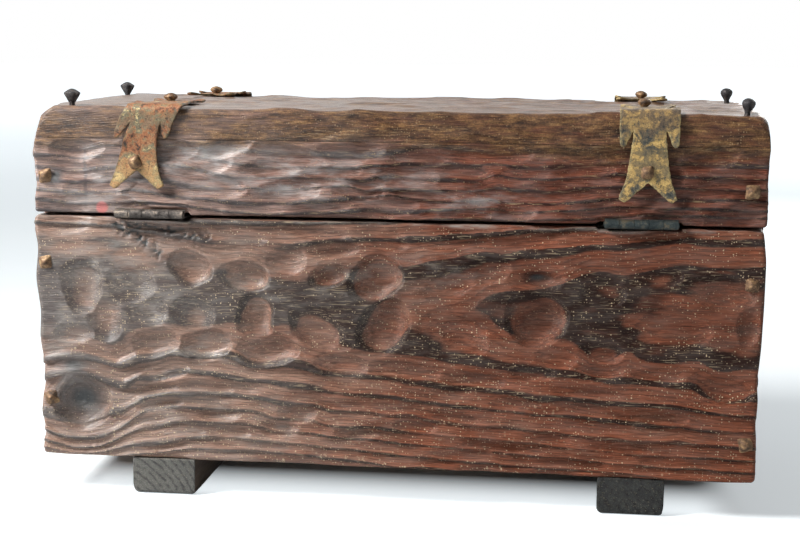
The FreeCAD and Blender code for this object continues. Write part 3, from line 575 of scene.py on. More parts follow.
# Gouges read off one by one: distance from the left end, height, length, width, tilt, depth before
# CARVING_GAIN.
BASE_GOUGES = [
    (37, 133, 34, 46, 0, 3.0), (120, 148, 36, 25, -20, 3.8), (162, 142, 41, 23, -6, 4.6),
    (75, 135, 38, 36, 0, 2.0), (55, 107, 28, 38, 0, 2.2), (88, 114, 36, 25, 0, 1.8),
    (121, 112, 40, 27, 0, 2.6), (170, 112, 29, 40, 0, 3.8), (30, 96, 34, 16, 0, 2.2),
    (93, 90, 40, 23, 6, 3.0), (131, 90, 41, 25, 4, 3.8), (178, 87, 46, 27, 0, 3.6),
    (225, 144, 34, 18, 16, 4.0), (259, 142, 47, 35, 36, 5.0), (266, 107, 50, 40, 58, 4.8),
    (217, 105, 50, 30, -28, 3.8), (226, 94, 38, 14, -6, 1.8), (318, 103, 58, 33, -14, 2.8),
    (315, 140, 42, 20, 20, 1.8), (228, 164, 38, 14, 5, 2.0), (193, 154, 30, 24, 0, 1.8),
    (340, 151, 42, 20, 10, 1.8), (234, 78, 44, 20, -4, 2.8), (280, 75, 60, 15, -4, 1.8),
    (332, 69, 48, 15, -4, 2.0), (290, 32, 32, 11, 0, 1.6), (246, 26, 36, 13, 0, 2.2),
    (200, 39, 30, 15, 0, 2.2), (186, 27, 30, 15, 0, 1.8), (378, 150, 42, 30, 0, 1.8),
    (378, 147, 28, 14, 0, 3.6), (378, 117, 45, 44, 0, 4.8), (426, 93, 34, 17, -6, 2.8),
    (470, 112, 70, 36, 0, 2.2), (508, 140, 54, 27, -6, 3.2), (425, 137, 34, 26, 0, 1.8),
    (462, 149, 42, 17, 6, 1.8), (514, 70, 50, 24, -12, 3.2), (425, 80, 40, 15, 0, 2.0),
    (376, 76, 36, 12, 0, 1.8), (530, 115, 18, 28, 0, 2.0), (393, 88, 34, 18, 0, 1.5),
    (465, 77, 40, 14, 0, 1.6), (99, 66, 40, 10, 12, 2.0), (92, 54, 38, 9, 12, 2.0),
    (140, 38, 36, 13, 0, 2.0), (35, 41, 46, 44, 0, 4.6), (96, 42, 40, 8, 12, 1.6),
    (130, 57, 44, 12, -4, 1.6), (148, 22, 36, 10, 0, 1.6), (315, 41, 44, 10, -6, 1.6),
    (414, 63, 60, 12, -4, 1.8), (460, 45, 60, 11, 0, 1.6), (350, 20, 50, 8, -4, 1.4),
    (440, 22, 54, 8, 0, 1.4),
]
BASE_GOUGES += scattered_gouges(LENGTH, 16, (60, 14), (56, 14, 1.4), 5, low=168)
LID_GOUGES = scattered_gouges(LENGTH, 56, (50, 14), (60, 19, 3.4), 11, low=186)
LID_GOUGES += scattered_gouges(LENGTH, 26, (70, 13), (80, 15, 1.2), 13, low=243)

# The dark lines of the grain on the base's back, read off: (u, v) along each. They lie round
# a middle line, where the rings are cut nearly flat. Its own ring number changes along it.
MIDDLE = ((0, 128), (100, 124), (200, 122), (334, 122), (400, 120), (460, 114), (540, 112))
MIDDLE_RING = ((0, 1.62), (60, 1.66), (100, 1.82), (200, 1.86), (240, 1.80), (265, 1.62), (290, 1.36),
               (310, 1.2), (333, 1.02), (338, 0.90), (350, 0.86), (400, 0.84), (440, 0.76), (462, 0.45),
               (540, 0.36))
# The innermost line above it and the one below it part from it at FORK.
FORK = 334.0
ABOVE = (
    ((334, 122), (337, 128), (343, 133), (352, 136), (372, 138), (390, 141), (400, 144), (405, 148),
     (412, 152), (428, 155), (436, 152), (445, 152), (460, 156), (480, 159), (500, 158), (540, 159)),
    ((0, 172), (40, 171), (60, 174), (72, 171), (85, 165), (100, 158), (120, 159), (134, 150), (150, 152),
     (165, 155), (180, 146), (200, 142), (212, 146), (225, 152), (238, 152), (250, 155), (262, 159),
     (275, 156), (280, 153), (300, 157), (320, 161), (330, 164), (345, 166), (352, 163), (370, 168),
     (400, 168.5), (420, 171.5), (440, 173), (460, 176), (480, 178), (540, 178)),
    ((0, 180), (60, 179), (80, 176), (100, 175), (120, 172), (140, 170), (180, 168.5), (200, 168.5),
     (207, 170), (220, 172), (240, 172), (260, 174), (280, 175), (300, 176), (320, 178), (340, 179),
     (370, 181), (400, 184), (540, 192)),
    ((0, 190), (180, 184), (240, 186), (540, 206)),
)
BELOW = (
    ((334, 122), (345, 115), (352, 109), (360, 104), (372, 101), (390, 101), (402, 100), (408, 97),
     (414, 90), (425, 87), (437, 88), (443, 96), (448, 91), (460, 86), (473, 85), (482, 87), (495, 89),
     (504, 83), (513, 81), (540, 85)),
    ((0, 88), (10, 86), (20, 88), (40, 84), (56, 80), (63, 82), (70, 91), (80, 97), (92, 98), (100, 101),
     (112, 100), (130, 98), (140, 100), (148, 104), (156, 103), (165, 96), (172, 94.5), (178, 97),
     (186, 101), (195, 101), (205, 95), (225, 88), (240, 87), (252, 85), (285, 84), (300, 83), (320, 80),
     (340, 78), (370, 76), (400, 72), (430, 70.5), (460, 70), (490, 68.5), (502, 62), (516, 58),
     (540, 60)),
    ((0, 68), (30, 66), (60, 66), (66, 67), (73, 70), (80, 73), (90, 74), (100, 77), (107, 80), (120, 78),
     (130, 78), (146, 80), (153, 78), (158, 75), (165, 72.5), (184, 72), (190, 74.5), (205, 73),
     (212, 71), (222, 67.5), (240, 68), (262, 67.5), (280, 65), (300, 63), (320, 60.5), (360, 58.5),
     (380, 54.5), (400, 55.5), (430, 53), (465, 53), (500, 50), (540, 47)),
    ((0, 55), (30, 53), (60, 51), (66, 52), (75, 58), (90, 60), (100, 62), (107, 65), (120, 66),
     (140, 64), (160, 61.5), (180, 60), (200, 58), (230, 55.5), (260, 53), (280, 51.5), (300, 50),
     (320, 47.5), (345, 47), (370, 45), (380, 43.5), (410, 43), (430, 40), (460, 37), (490, 37.5),
     (540, 35)),
    ((0, 32), (30, 33), (55, 35), (66, 37), (76, 42), (85, 46.5), (100, 49), (120, 49), (150, 49.5),
     (175, 49), (187, 45), (200, 44), (218, 44.5), (224, 41.5), (255, 41), (270, 39), (290, 39),
     (300, 36), (330, 32.5), (350, 34), (370, 32), (380, 30), (400, 31), (420, 27.5), (450, 26.5),
     (465, 25), (485, 27), (500, 25), (540, 24)),
    ((0, 20), (30, 19), (50, 20), (62, 24), (75, 31), (85, 36), (100, 38), (115, 39), (135, 36.5),
     (155, 39), (172, 38), (182, 34.5), (192, 33), (210, 34), (222, 30.5), (240, 28.5), (262, 29),
     (275, 27), (300, 26), (340, 23.5), (370, 22), (400, 20), (440, 17.5), (460, 16), (485, 17),
     (540, 15)),
    ((0, 12), (30, 11), (50, 12), (66, 17), (80, 22), (93, 22), (105, 27), (118, 28), (135, 27),
     (160, 29), (172, 26), (182, 23), (210, 24), (226, 21), (262, 20), (290, 18), (320, 16), (355, 14.5),
     (390, 12.5), (430, 9.5), (480, 8.5), (540, 6)),
    ((0, 6), (40, 5), (70, 8), (95, 10), (115, 15), (140, 17), (160, 16), (195, 14), (220, 12),
     (250, 10.5), (290, 8), (330, 6), (370, 5), (420, 3), (540, -3)),
    ((0, -4), (70, 1), (100, 4), (125, 8), (150, 8), (200, 6), (260, 2), (340, -3), (540, -14)),
    ((0, -16), (540, -26)),
)
# The dark lines on the lid's back, from the top down.
LID_LINES = (
    ((0, 246), (540, 250)),
    ((0, 237), (20, 235), (38, 232), (52, 237), (80, 237), (100, 236), (115, 238.5), (130, 238.5),
     (145, 235), (165, 232), (200, 232), (250, 230), (262, 231), (275, 234), (285, 237), (300, 239),
     (320, 237), (345, 235), (360, 236), (400, 238), (440, 240), (540, 240)),
    ((0, 229), (20, 229), (40, 226), (55, 228), (80, 229), (100, 231), (110, 232.5), (122, 231),
     (132, 228), (145, 226), (160, 222), (240, 222), (262, 224.5), (280, 226), (330, 226), (350, 227),
     (362, 225), (380, 224), (400, 226), (420, 228), (440, 229), (500, 229), (540, 228)),
    ((0, 221), (20, 217), (40, 216), (60, 219), (80, 222), (120, 221), (135, 217), (150, 213), (180, 214),
     (230, 215), (250, 212), (260, 215), (272, 217), (300, 214), (335, 214), (346, 219), (362, 217),
     (385, 216), (400, 218), (430, 221), (540, 220)),
    ((0, 211), (30, 208), (60, 209), (80, 211), (100, 210), (120, 206.5), (160, 205), (180, 206),
     (220, 209), (240, 210), (252, 206), (262, 208), (330, 208), (346, 211), (362, 209), (380, 208),
     (400, 210), (430, 212), (480, 213), (540, 212)),
    ((0, 202), (30, 200), (60, 201), (80, 203), (100, 200), (140, 197), (170, 195), (220, 197),
     (240, 200), (255, 203), (272, 204), (290, 202), (310, 200), (345, 201), (380, 199), (400, 200),
     (440, 205), (540, 204)),
    ((0, 195), (30, 193), (60, 194), (100, 193), (140, 190), (180, 188), (220, 189), (260, 192),
     (290, 192), (330, 195), (345, 195), (362, 193), (400, 194), (430, 198), (540, 198)),
    ((0, 187), (100, 185), (200, 182), (300, 186), (400, 188), (430, 191), (480, 194), (540, 193)),
    ((0, 178), (540, 184)),
)
# Soft spots on the wood: distance from the left end, height, how wide, how tall, strength.
# The dark lines are faint in warm ones, and bare wood shows in chips.
# The first table is painted sheen: spots where the wood turns greyer and lighter, with some dust.
BASE_PAINTED_SHEEN = ((60, 150, 90, 46, 0.6), (95, 118, 60, 30, 0.7), (134, 84, 60, 20, 0.8),
             (170, 130, 60, 40, 0.5), (240, 140, 60, 40, 0.35), (110, 168, 120, 24, 0.35),
             (120, 26, 240, 50, 0.35), (20, 100, 40, 90, 0.5), (300, 150, 80, 30, 0.3))
BASE_WARM = ((35, 160, 70, 18, 1.0), (80, 155, 52, 24, 0.9), (55, 111, 34, 26, 0.9),
             (85, 118, 30, 16, 0.6), (30, 96, 36, 14, 0.6), (165, 160, 60, 20, 1.0),
             (12, 95, 12, 24, 0.6), (305, 128, 70, 30, 0.9))
BASE_CHIPS = ((60, 42, 14, 50, 1.6), (32, 84, 26, 12, 0.8), (170, 20, 260, 46, 0.35),
              (270, 1, 560, 12, 0.8), (330, 45, 260, 60, 0.3))
BASE_CHAR = ((35, 44, 46, 44, 1.0), (28, 70, 44, 26, 0.95), (10, 104, 30, 90, 0.65),
             (60, 96, 34, 20, 0.5), (40, 90, 60, 30, 0.4), (405, 122, 110, 60, 0.5),
             (500, 115, 130, 80, 0.32), (345, 122, 44, 26, 0.68), (378, 119, 50, 50, 0.62),
             (378, 147, 26, 12, 0.95), (85, 175, 64, 14, 0.45), (112, 167, 50, 14, 0.4),
             (110, 160, 240, 50, 0.2), (300, 96, 120, 40, 0.3), (440, 160, 160, 30, 0.3),
             (280, 135, 160, 60, 0.3), (330, 150, 90, 40, 0.3))
# Spots of painted sheen on the lid's back, greyer and lighter, with some dust.
LID_PAINTED_SHEEN = ((120, 226, 110, 40, 0.85), (60, 205, 90, 30, 0.7), (200, 215, 120, 30, 0.7),
            (262, 220, 60, 26, 0.5), (330, 200, 60, 20, 0.4))
LID_CHAR = ((300, 262, 260, 10, 0.5), (60, 256, 200, 30, 0.7), (200, 256, 200, 24, 0.25),
            (500, 190, 120, 9, 0.5), (17.5, 214, 10, 12, 1.2), (41, 216, 2.6, 56, 0.9),
            (8, 188, 60, 6, 0.8))
PAINT_DAB_PLACE, PAINT_DAB_RADIUS = (53.0, 191.2), 4.4

# Left and right ends of the base and the lid: (height, how far the edge draws in).
BASE_LEFT_WAVE = ((0, 1.8), (20, 4.2), (36, 2.0), (63, 5.4), (87, 2.2), (112, 3.8), (137, 0.6),
                  (161, 3.4), (177, 0.0), (187, 1.0))
BASE_RIGHT_WAVE = ((0, 1.4), (30, 1.6), (43, 2.8), (57, 1.5), (75, 3.0), (100, 1.0), (130, 0.2),
                   (164, 0.0), (184, 2.6))
LID_LEFT_WAVE = ((187, 1.0), (197, 1.6), (209, 4.2), (218, 2.4), (233, 0.4), (244, 5.0), (257, 6.8),
                 (267, 8.5))
LID_RIGHT_WAVE = ((187, 0.6), (205, 0.0), (220, 1.2), (236, 0.2), (250, 0.8), (262, 2.6), (268, 4.5))

# The knot's middle, and lines of pricked dents: (distance from the left end, height).
KNOT = (31.0, 46.0)
STIPPLES = (
    ((60, 180), (78, 172), (92, 162), (106, 152)),
    ((60, 180), (86, 179), (110, 174), (140, 168)),
)

# How far in from an end its wave moves the board's points, and how far behind its face the
# carving does.
END_REACH = 34.0
CARVE_REACH = 13.0
WAVE_ROUNDING = (-5.0, -2.5, 0.0, 2.5, 5.0)

# How much deeper the base's gouges are than their table says, and the deepest that carving
# goes on each board.
CARVING_GAIN = 1.45
BASE_DEEPEST, LID_DEEPEST, OTHER_DEEPEST, TOP_DEEPEST = 8.2, 6.0, 5.5, 4.0

# How far in from the face the hinges' leaves reach, where their barrels' notch begins, and
# the grid lines that the notches need.
LEAF_REACH, BARREL_REACH = 19.6, 4.5
HINGE_CUTS = (-19.8, -19.4, -4.5, -2.5)


def pull_ends(u, v, length, left, right):
    """Draws a board's two ends in by their waves."""
    near_left, near_right = smooth(1 - u / END_REACH), smooth(1 - (length - u) / END_REACH)
    return (u + height_at(v, left, WAVE_ROUNDING) * near_left
            - height_at(v, right, WAVE_ROUNDING) * near_right)


def sink(w, depth):
    """Lowers the face by depth, less and less towards the board's middle."""
    return w - depth * smooth(1 + w / CARVE_REACH)


def around_knot(u, v):
    """Where a place's grain would be without the knot, and how far away the knot is."""
    away = np.hypot(u - KNOT[0], v - KNOT[1])
    pull = 1.0 - 0.75 * np.exp(-(away / 30.0) ** 2)
    return KNOT[0] + (u - KNOT[0]) * pull, KNOT[1] + (v - KNOT[1]) * pull, away


def vigour_of(u, v, w, seed, low):
    """How strong the dark lines are at a place, from low to 1."""
    points, patch = stack(u, v, w), np.array([90.0, 24.0, 40.0])
    spread = noise(points, patch, seed) + noise(points, patch / 2, seed + 1) / 2
    return low + (1.0 - low) * smooth(0.5 + 0.8 * spread)


def base_back_ring(u, v, w):
    """The ring number: 1 at the inner dark lines, and one more at each line further out."""
    ripple = 0.9 * noise(stack(u, v), (34.0, 12.0, 60.0), 21)
    ripple += 0.6 * noise(stack(u, v), (15.0, 7.0, 60.0), 22)
    level = v + ripple - 0.35 * (w + 3.0)
    middle = height_at(u, MIDDLE)
    core = height_at(u, MIDDLE_RING)
    inner = np.maximum(core, 1.0)

    def count(side, lines):
        levels = [0.0 * u] + [np.maximum(side * (height_at(u, line) - middle), 0.0) for line in lines]
        levels[1] = np.where(u < FORK, 0.0, levels[1])
        return count_rings(side * (level - middle), levels, [core, inner, *range(2, len(lines) + 1)])

    return np.where(level > middle, count(1.0, ABOVE), count(-1.0, BELOW))


def base_back_grain(u, v, w):
    ku, kv, away = around_knot(u, v)
    ring = base_back_ring(ku, kv, w)
    part = ring - np.floor(ring)
    core = ring < 1.0
    outer = smooth((ring - 1.97) / 0.06)
    inside = smooth((-w - 2.4) / 1.8) * (w > -9.0) * (1 - outer)

    # A dark line starts softly and unevenly, and ends sharply.
    uneven = 0.10 * noise(stack(u, v, ring), (44.0, 8.0, 1.0), 26)
    blotch = 0.14 * noise(stack(u, v), (16.0, 5.0, 9.0), 27)
    start = np.where(core, 0.48 + blotch, np.interp(u, (250, 340), (0.42, 0.62)))
    start = start * (1 - outer) + (np.interp(u, (80, 300), (0.55, 0.65)) + uneven) * outer
    end = np.where(core, 0.985, 0.95)
    late = smooth((part - start) / np.where(core, 0.50, 0.24)) * (1.0 - smooth((part - end) / (1.0 - end)))

    # Lines are fainter low down, within deep gouges and in warm spots.
    warm = np.clip(soft_spots(u, v, BASE_WARM), 0.0, 1.0)
    late = 1.15 * late * vigour_of(u, v, w, 23, 0.72) * np.interp(v, (30, 80), (0.68, 1.0))
    late = late * (1 - np.interp(u, (60, 220), (0.4, 0.68)) * inside) * (1 - 0.85 * warm)

    knot = 1.0 - smooth((away - 16.0) / 8.0)
    whorl = away / 4.4 + 0.6 * noise(stack(u, v), (14.0, 9.0, 9.0), 24)
    knot_late = 0.6 + 0.2 * latewood(whorl)
    return ring * (1 - knot) + whorl * knot, late * (1 - knot) + knot_late * knot


def marks(u, v, depth, pale=(), char=()):
    """What the finish needs to know about any carved face."""
    return {"hollow": depth / 5.0, "pale": soft_spots(u, v, pale), "char": soft_spots(u, v, char)}


def near_line(u, v, line):
    """1 on a line of pricked dents, falling to 0 a few millimetres beside it."""
    (first, _), (last, _) = line[0], line[-1]
    beside = np.exp(-((v - height_at(u, line)) / 6.5) ** 2)
    return beside * smooth((u - first + 8) / 12) * smooth((last - u + 6) / 16)


def base_back_shape(u, v, w):
    depth = CARVING_GAIN * dishes(u, v, BASE_GOUGES, 0.34)
    depth += 0.4 + 0.5 * noise(stack(u, v), (85.0, 40.0, 50.0), 31)
    late = base_back_grain(u, v, w - depth)[1]
    groove = 1.9 + 1.5 * noise(stack(u, v), (26.0, 9.0, 20.0), 33)
    ridge = 0.4 + groove * smooth(base_back_ring(u, v, 0 * w) - 1.6)
    pits = np.maximum(*(near_line(u, v, line) for line in STIPPLES))
    pitted = smooth(0.35 + 1.6 * noise(stack(u, v), (2.3, 2.1, 9.0), 34)) * pits
    depth = np.clip(depth + ridge * (1 - late) + pitted, 0.0, BASE_DEEPEST)
    carved = sink(w, depth)
    v2 = hinge_notch(u, v, carved, BASE_BACK_TOP, into=-1.0, leaf_cut=1.6, barrel_cut=1.6)
    u2 = pull_ends(u, v, LENGTH, BASE_LEFT_WAVE, BASE_RIGHT_WAVE)
    facts = marks(u, v, depth, BASE_PAINTED_SHEEN, BASE_CHAR)
    facts["char"] = np.maximum(facts["char"], 0.55 * pits + 0.5 * pitted)
    # A lighter line along the top arris: a worn edge, with a painted highlight.
    facts["pale"] = np.maximum(facts["pale"], 0.7 * smooth((v - 180.5) / 3.0))
    facts["chips"] = soft_spots(u, v, BASE_CHIPS)
    return u2, v2, carved, facts


def hinge_notch(u, v, w, edge, into, leaf_cut, barrel_cut):
    """Cuts the seam edge of a back board, into it by 1 or -1, for the leaves and barrels."""
    cut = np.zeros(len(u))
    for middle, half in HINGES:
        beside = smooth((half - abs(u - middle)) / 2.5 + 0.5)
        depth = np.where(w > -LEAF_REACH, leaf_cut, 0.0)
        depth = depth + (barrel_cut - leaf_cut) * smooth((w + BARREL_REACH) / 2.0)
        cut = np.maximum(cut, beside * depth)
    return v + into * cut * smooth(1 - abs(v - edge) / 12.0)


def lid_grain(u, v, w):
    ripple = 0.8 * noise(stack(u, v), (40.0, 12.0, 50.0), 41)
    ripple += 0.6 * noise(stack(u, v), (15.0, 6.0, 40.0), 44)
    levels = [-height_at(u, line) for line in LID_LINES]
    ring = count_rings(-(v + ripple) + 0.3 * (w + 3.0), levels, range(len(levels)))
    return ring, latewood(ring, 0.5, 0.3) * vigour_of(u, v, w, 43, 0.65)


def lid_depth(u, v):
    depth = dishes(u, v, LID_GOUGES, 0.25)
    return depth + 0.5 + 0.5 * noise(stack(u, v), (70.0, 30.0, 50.0), 45)


def dusty_band(u, level):
    """Where the lid's upper edge has an old dusty coat."""
    return smooth((level - 229.0 - 7.0 * noise(stack(u, level), (60.0, 30.0, 30.0), 47)) / 13.0)


def lid_back_shape(u, v, w):
    depth = lid_depth(u, v)
    late = lid_grain(u, v, w - depth)[1]
    groove = 1.6 + 0.9 * noise(stack(u, v), (30.0, 10.0, 20.0), 46)
    groove = groove * np.interp(u, (0, 120, 300), (0.45, 0.7, 1.0))
    groove = groove * (1 - late) * smooth((LID_FRAME_TOP - v) / 7.0)
    depth = np.clip(depth + groove, 0.0, LID_DEEPEST)
    carved = sink(w, depth)
    v2 = hinge_notch(u, v, carved, BASE_TOP, into=1.0, leaf_cut=1.6, barrel_cut=5.0)
    facts = marks(u, v, depth, LID_PAINTED_SHEEN, LID_CHAR)
    facts["dusty"] = dusty_band(u, v)
    from_dab = np.hypot(u - PAINT_DAB_PLACE[0], v - PAINT_DAB_PLACE[1])
    facts["dab"] = smooth((PAINT_DAB_RADIUS - from_dab) / 1.5 + 0.5)
    return pull_ends(u, v, LENGTH, LID_LEFT_WAVE, LID_RIGHT_WAVE), v2, carved, facts


def outside_round(radius, seam=1.0, joint=1e9):
    """Rounding: radius on the outer arrises, and crisp edges inside and at a joint's height."""
    def rounding(u, v, w):
        outer = smooth((w + 12.0) / 8.0) * (1 - smooth((v - joint + 8.0) / 7.0))
        return np.where(v > joint - 2.0, 0.3, seam) + (radius - seam) * outer
    return rounding


def carved_face(length, gouges, seed, centre, ends=None, joint=1e9):
    """The shape of a board that isn't in the photograph."""
    grain = grain_of(seed, centre)
    rng = np.random.RandomState(seed)
    # Random spots of painted sheen, and random dark spots.
    pale = [(rng.uniform(0, length), rng.uniform(0, 240), 90, 36, rng.uniform(0.3, 0.8)) for _ in range(9)]
    char = [(rng.uniform(0, length), rng.uniform(0, 240), 60, 18, rng.uniform(0.3, 0.6)) for _ in range(6)]

    def shape(u, v, w):
        depth = dishes(u, v, gouges, 0.2)
        depth = depth + 0.5 + 0.5 * noise(stack(u, v), (80.0, 36.0, 50.0), seed)
        late = grain(u, v, w - depth)[1]
        depth = np.clip(depth + 1.1 * (1 - late) * smooth((joint - v) / 7.0), 0.0, OTHER_DEEPEST)
        u2 = pull_ends(u, v, length, *ends) if ends else u
        return u2, v, sink(w, depth), marks(u, v, depth, pale, char)
    return shape


def grain_of(seed, centre):
    """The grain of a board that isn't in the photograph. Its rings bow round a height."""
    def grain(u, v, w):
        ripple = 3.0 * noise(stack(u, v), (66.0, 28.0, 50.0), seed)
        ripple += 1.2 * noise(stack(u, v), (24.0, 13.0, 40.0), seed + 1)
        ring = (np.hypot(v + ripple - centre, 74.0 - 0.05 * u + 1.5 * w) - 8.0) / 12.0
        start = 0.5 - 0.3 * smooth(1 - abs(v - centre) / 50.0)
        return ring, latewood(ring, start) * vigour_of(u, v, w, seed + 2, 0.45)
    return grain


# How far apart a board's grid lines are, on the two in the photograph and on the others.
FINE, COARSE = 1.1, 1.7
BASE_ENDS = (BASE_LEFT_WAVE, BASE_RIGHT_WAVE)
LID_ENDS = (LID_LEFT_WAVE, LID_RIGHT_WAVE)
BASE_CENTRE, LID_CENTRE = 95.0, 350.0

make_board("base_back", "base_back_board", "base", on_back, (0, 0, -THICK), (LENGTH, BASE_BACK_TOP, 0),
           FINE, outside_round(3.0), base_back_shape, base_back_grain, [BASE_WOOD, BARE_X], cuts=HINGE_CUTS)
front_gouges = scattered_gouges(LENGTH, 130, (48, 30), (50, 34, 3.8), 51, 55)
front_gouges += scattered_gouges(LENGTH, 60, (46, 12.5), (44, 13, 1.6), 52)
make_board("base_front", "base_front_board", "base", on_front, (0, 0, -THICK), (LENGTH, BASE_TOP, 0),
           COARSE, outside_round(3.0), carved_face(LENGTH, front_gouges, 53, BASE_CENTRE, BASE_ENDS),
           grain_of(53, BASE_CENTRE), [BASE_WOOD, BARE_X])
for end, place, seed in (("left", on_left_end, 61), ("right", on_right_end, 71)):
    gouges = scattered_gouges(END_LENGTH, 187, (46, 30), (46, 32, 3.4), seed)
    make_board(f"base_end_{end}_carved", f"base_end_{end}", "base", place, (0, 0, -THICK),
               (END_LENGTH, BASE_TOP, 0), COARSE, outside_round(1.5, 0.6),
               carved_face(END_LENGTH, gouges, seed, BASE_CENTRE), grain_of(seed, BASE_CENTRE),
               [END_WOOD, BARE_Y])
    gouges = scattered_gouges(END_LENGTH, 56, (48, 16), (54, 20, 2.4), seed + 4, 187)
    make_board(f"lid_end_{end}_carved", f"lid_end_{end}", "lid", place, (0, BASE_TOP, -THICK),
               (END_LENGTH, LID_FRAME_TOP, 0), COARSE, outside_round(1.5, 0.6, LID_FRAME_TOP),
               carved_face(END_LENGTH, gouges, seed + 5, LID_CENTRE, joint=LID_FRAME_TOP),
               grain_of(seed + 5, LID_CENTRE), [END_WOOD, BARE_Y])

make_board("lid_back", "lid_back_board", "lid", on_back, (0, BASE_TOP, -THICK), (LENGTH, LID_FRAME_TOP, 0),
           FINE, outside_round(2.5, joint=LID_FRAME_TOP), lid_back_shape, lid_grain, [LID_WOOD, BARE_X],
           cuts=HINGE_CUTS, edge=3.0)
front_gouges = scattered_gouges(LENGTH, 56, (54, 13), (64, 19, 2.4), 81, 187)
make_board("lid_front", "lid_front_board", "lid", on_front, (0, BASE_TOP, -THICK),
           (LENGTH, LID_FRAME_TOP, 0), COARSE, outside_round(2.5, joint=LID_FRAME_TOP),
           carved_face(LENGTH, front_gouges, 83, LID_CENTRE, LID_ENDS, LID_FRAME_TOP),
           grain_of(83, LID_CENTRE), [LID_WOOD, BARE_X], edge=3.0)


# ------------------------------------------------------------------------ the lid's top board

TOP_THICK = LID_TOP - RUNNER_TOP - LID_FRAME_TOP
TOP_GOUGES = scattered_gouges(LENGTH, DEPTH, (62, 30), (84, 36, 2.2), 91)
WORN_CORNER = 6.0


def top_grain(u, v, w):
    ripple = 3.0 * noise(stack(u, v, w), (80.0, 30.0, 12.0), 95)
    ring = np.hypot(v + ripple - 120.0, 95.0 + 1.4 * w - 0.03 * u) / 8.0
    return ring, latewood(ring, 0.35, 0.4) * vigour_of(u, v, w, 96, 0.35) * 0.8


def top_shape(u, v, w):
    depth = dishes(u, v, TOP_GOUGES, 0.1) + 0.4 + 0.4 * noise(stack(u, v), (90.0, 50.0, 50.0), 97)
    depth = np.clip(depth * (1 - 0.75 * smooth((60.0 - u) / 40.0)), 0.0, TOP_DEEPEST)
    level = TOP_EDGE + w
    side = np.clip(lid_depth(u, level), 0.0, OTHER_DEEPEST)
    v2 = v + side * smooth(1 - v / 14.0) - side * smooth(1 - (DEPTH - v) / 14.0)
    u2 = pull_ends(u, level, LENGTH, LID_LEFT_WAVE, LID_RIGHT_WAVE)
    near_back = smooth((40.0 - v) / 30.0)
    u2 = u2 + WORN_CORNER * near_back * smooth((level - 258.0) / 9.0) * smooth(1 - u / END_REACH)
    facts = marks(u, level, depth, (), LID_CHAR)
    facts["waxed"] = smooth(1 + w / 6.0) * smooth((v - 3.0) / 8.0)
    # The waxed top takes the greyer, lighter colour as a painted reflection of the white backdrop, over the
    # coat's rendered one.
    facts["pale"] = 0.62 * facts["waxed"]
    facts["dusty"] = np.maximum(dusty_band(u, level), 0.5 * smooth((v - 3.0) / 8.0))
    return u2, v2, sink(w, depth), facts


def top_round(u, v, w):
    """The upper arris is well rounded, and the joint with the frame below is crisp."""
    return 0.3 + 5.5 * smooth((w + TOP_THICK - 4.0) / 12.0)


make_board("lid_top", "lid_top_board", "lid", on_top, (0, 0, -TOP_THICK), (LENGTH, DEPTH, 0), 1.5,
           top_round, top_shape, top_grain, [LID_WOOD, BARE_X], edge=5.0, cuts=np.arange(-20.0, -4.0, 1.5))


# --------------------------------------------------------------------------------- runners

RUNNER_LENGTH, RUNNER_WIDTH = 230.0, 49.0

# Each runner's middle along the chest, and where its pith is, as (w, v).
RUNNERS = (("left", -179.5, (-70.0, -18.0)), ("right", 172.5, (18.0, -22.0)))


def runner_shape(u, v, w):
    saw = 0.35 * noise(stack(u, v, w), (5.0, 3.0, 3.0), 101)
    saw += 0.5 * noise(stack(u, v, w), (40.0, 20.0, 20.0), 102)
    rise = 0.3 * saw * smooth((v - 2) / 6.0) * smooth((RUNNER_TOP - 2 - v) / 6.0)
    return u, v + rise, w - abs(saw) * 0.5, marks(u, v, 0 * u)


def runner_round(u, v, w):
    """The arrises are rounder towards the sole."""
    return 1.0 + 3.0 * smooth((8.0 - v) / 6.0)


def runner_grain(pith):
    def grain(u, v, w):
        ring = np.hypot(w - pith[0], v - pith[1]) / 5.0
        ring = ring + 0.1 * noise(stack(u, v, w), (60.0, 9.0, 9.0), 104)
        return ring, latewood(ring, 0.4, 0.4) * 0.8
    return grain


for side, middle, pith in RUNNERS:
    def runner_place(u, v, w, middle=middle):
        return np.column_stack([middle + RUNNER_WIDTH / 2 + w, u - RUNNER_LENGTH / 2, v])

    make_board(f"runner_{side}_sawn", f"runner_{side}", "base", runner_place, (0, 0, -RUNNER_WIDTH),
               (RUNNER_LENGTH, RUNNER_TOP, 0), 2.5, runner_round, runner_shape, runner_grain(pith),
               [RUNNER_WOOD, RUNNER_BARE], cuts=np.arange(-46.0, -2.0, 3.0))


# ------------------------------------------------------------------------- nails and studs

HEAD_SIDES = 24
HEAD_TILT = 0.07
HEAD_LOBE = 0.06


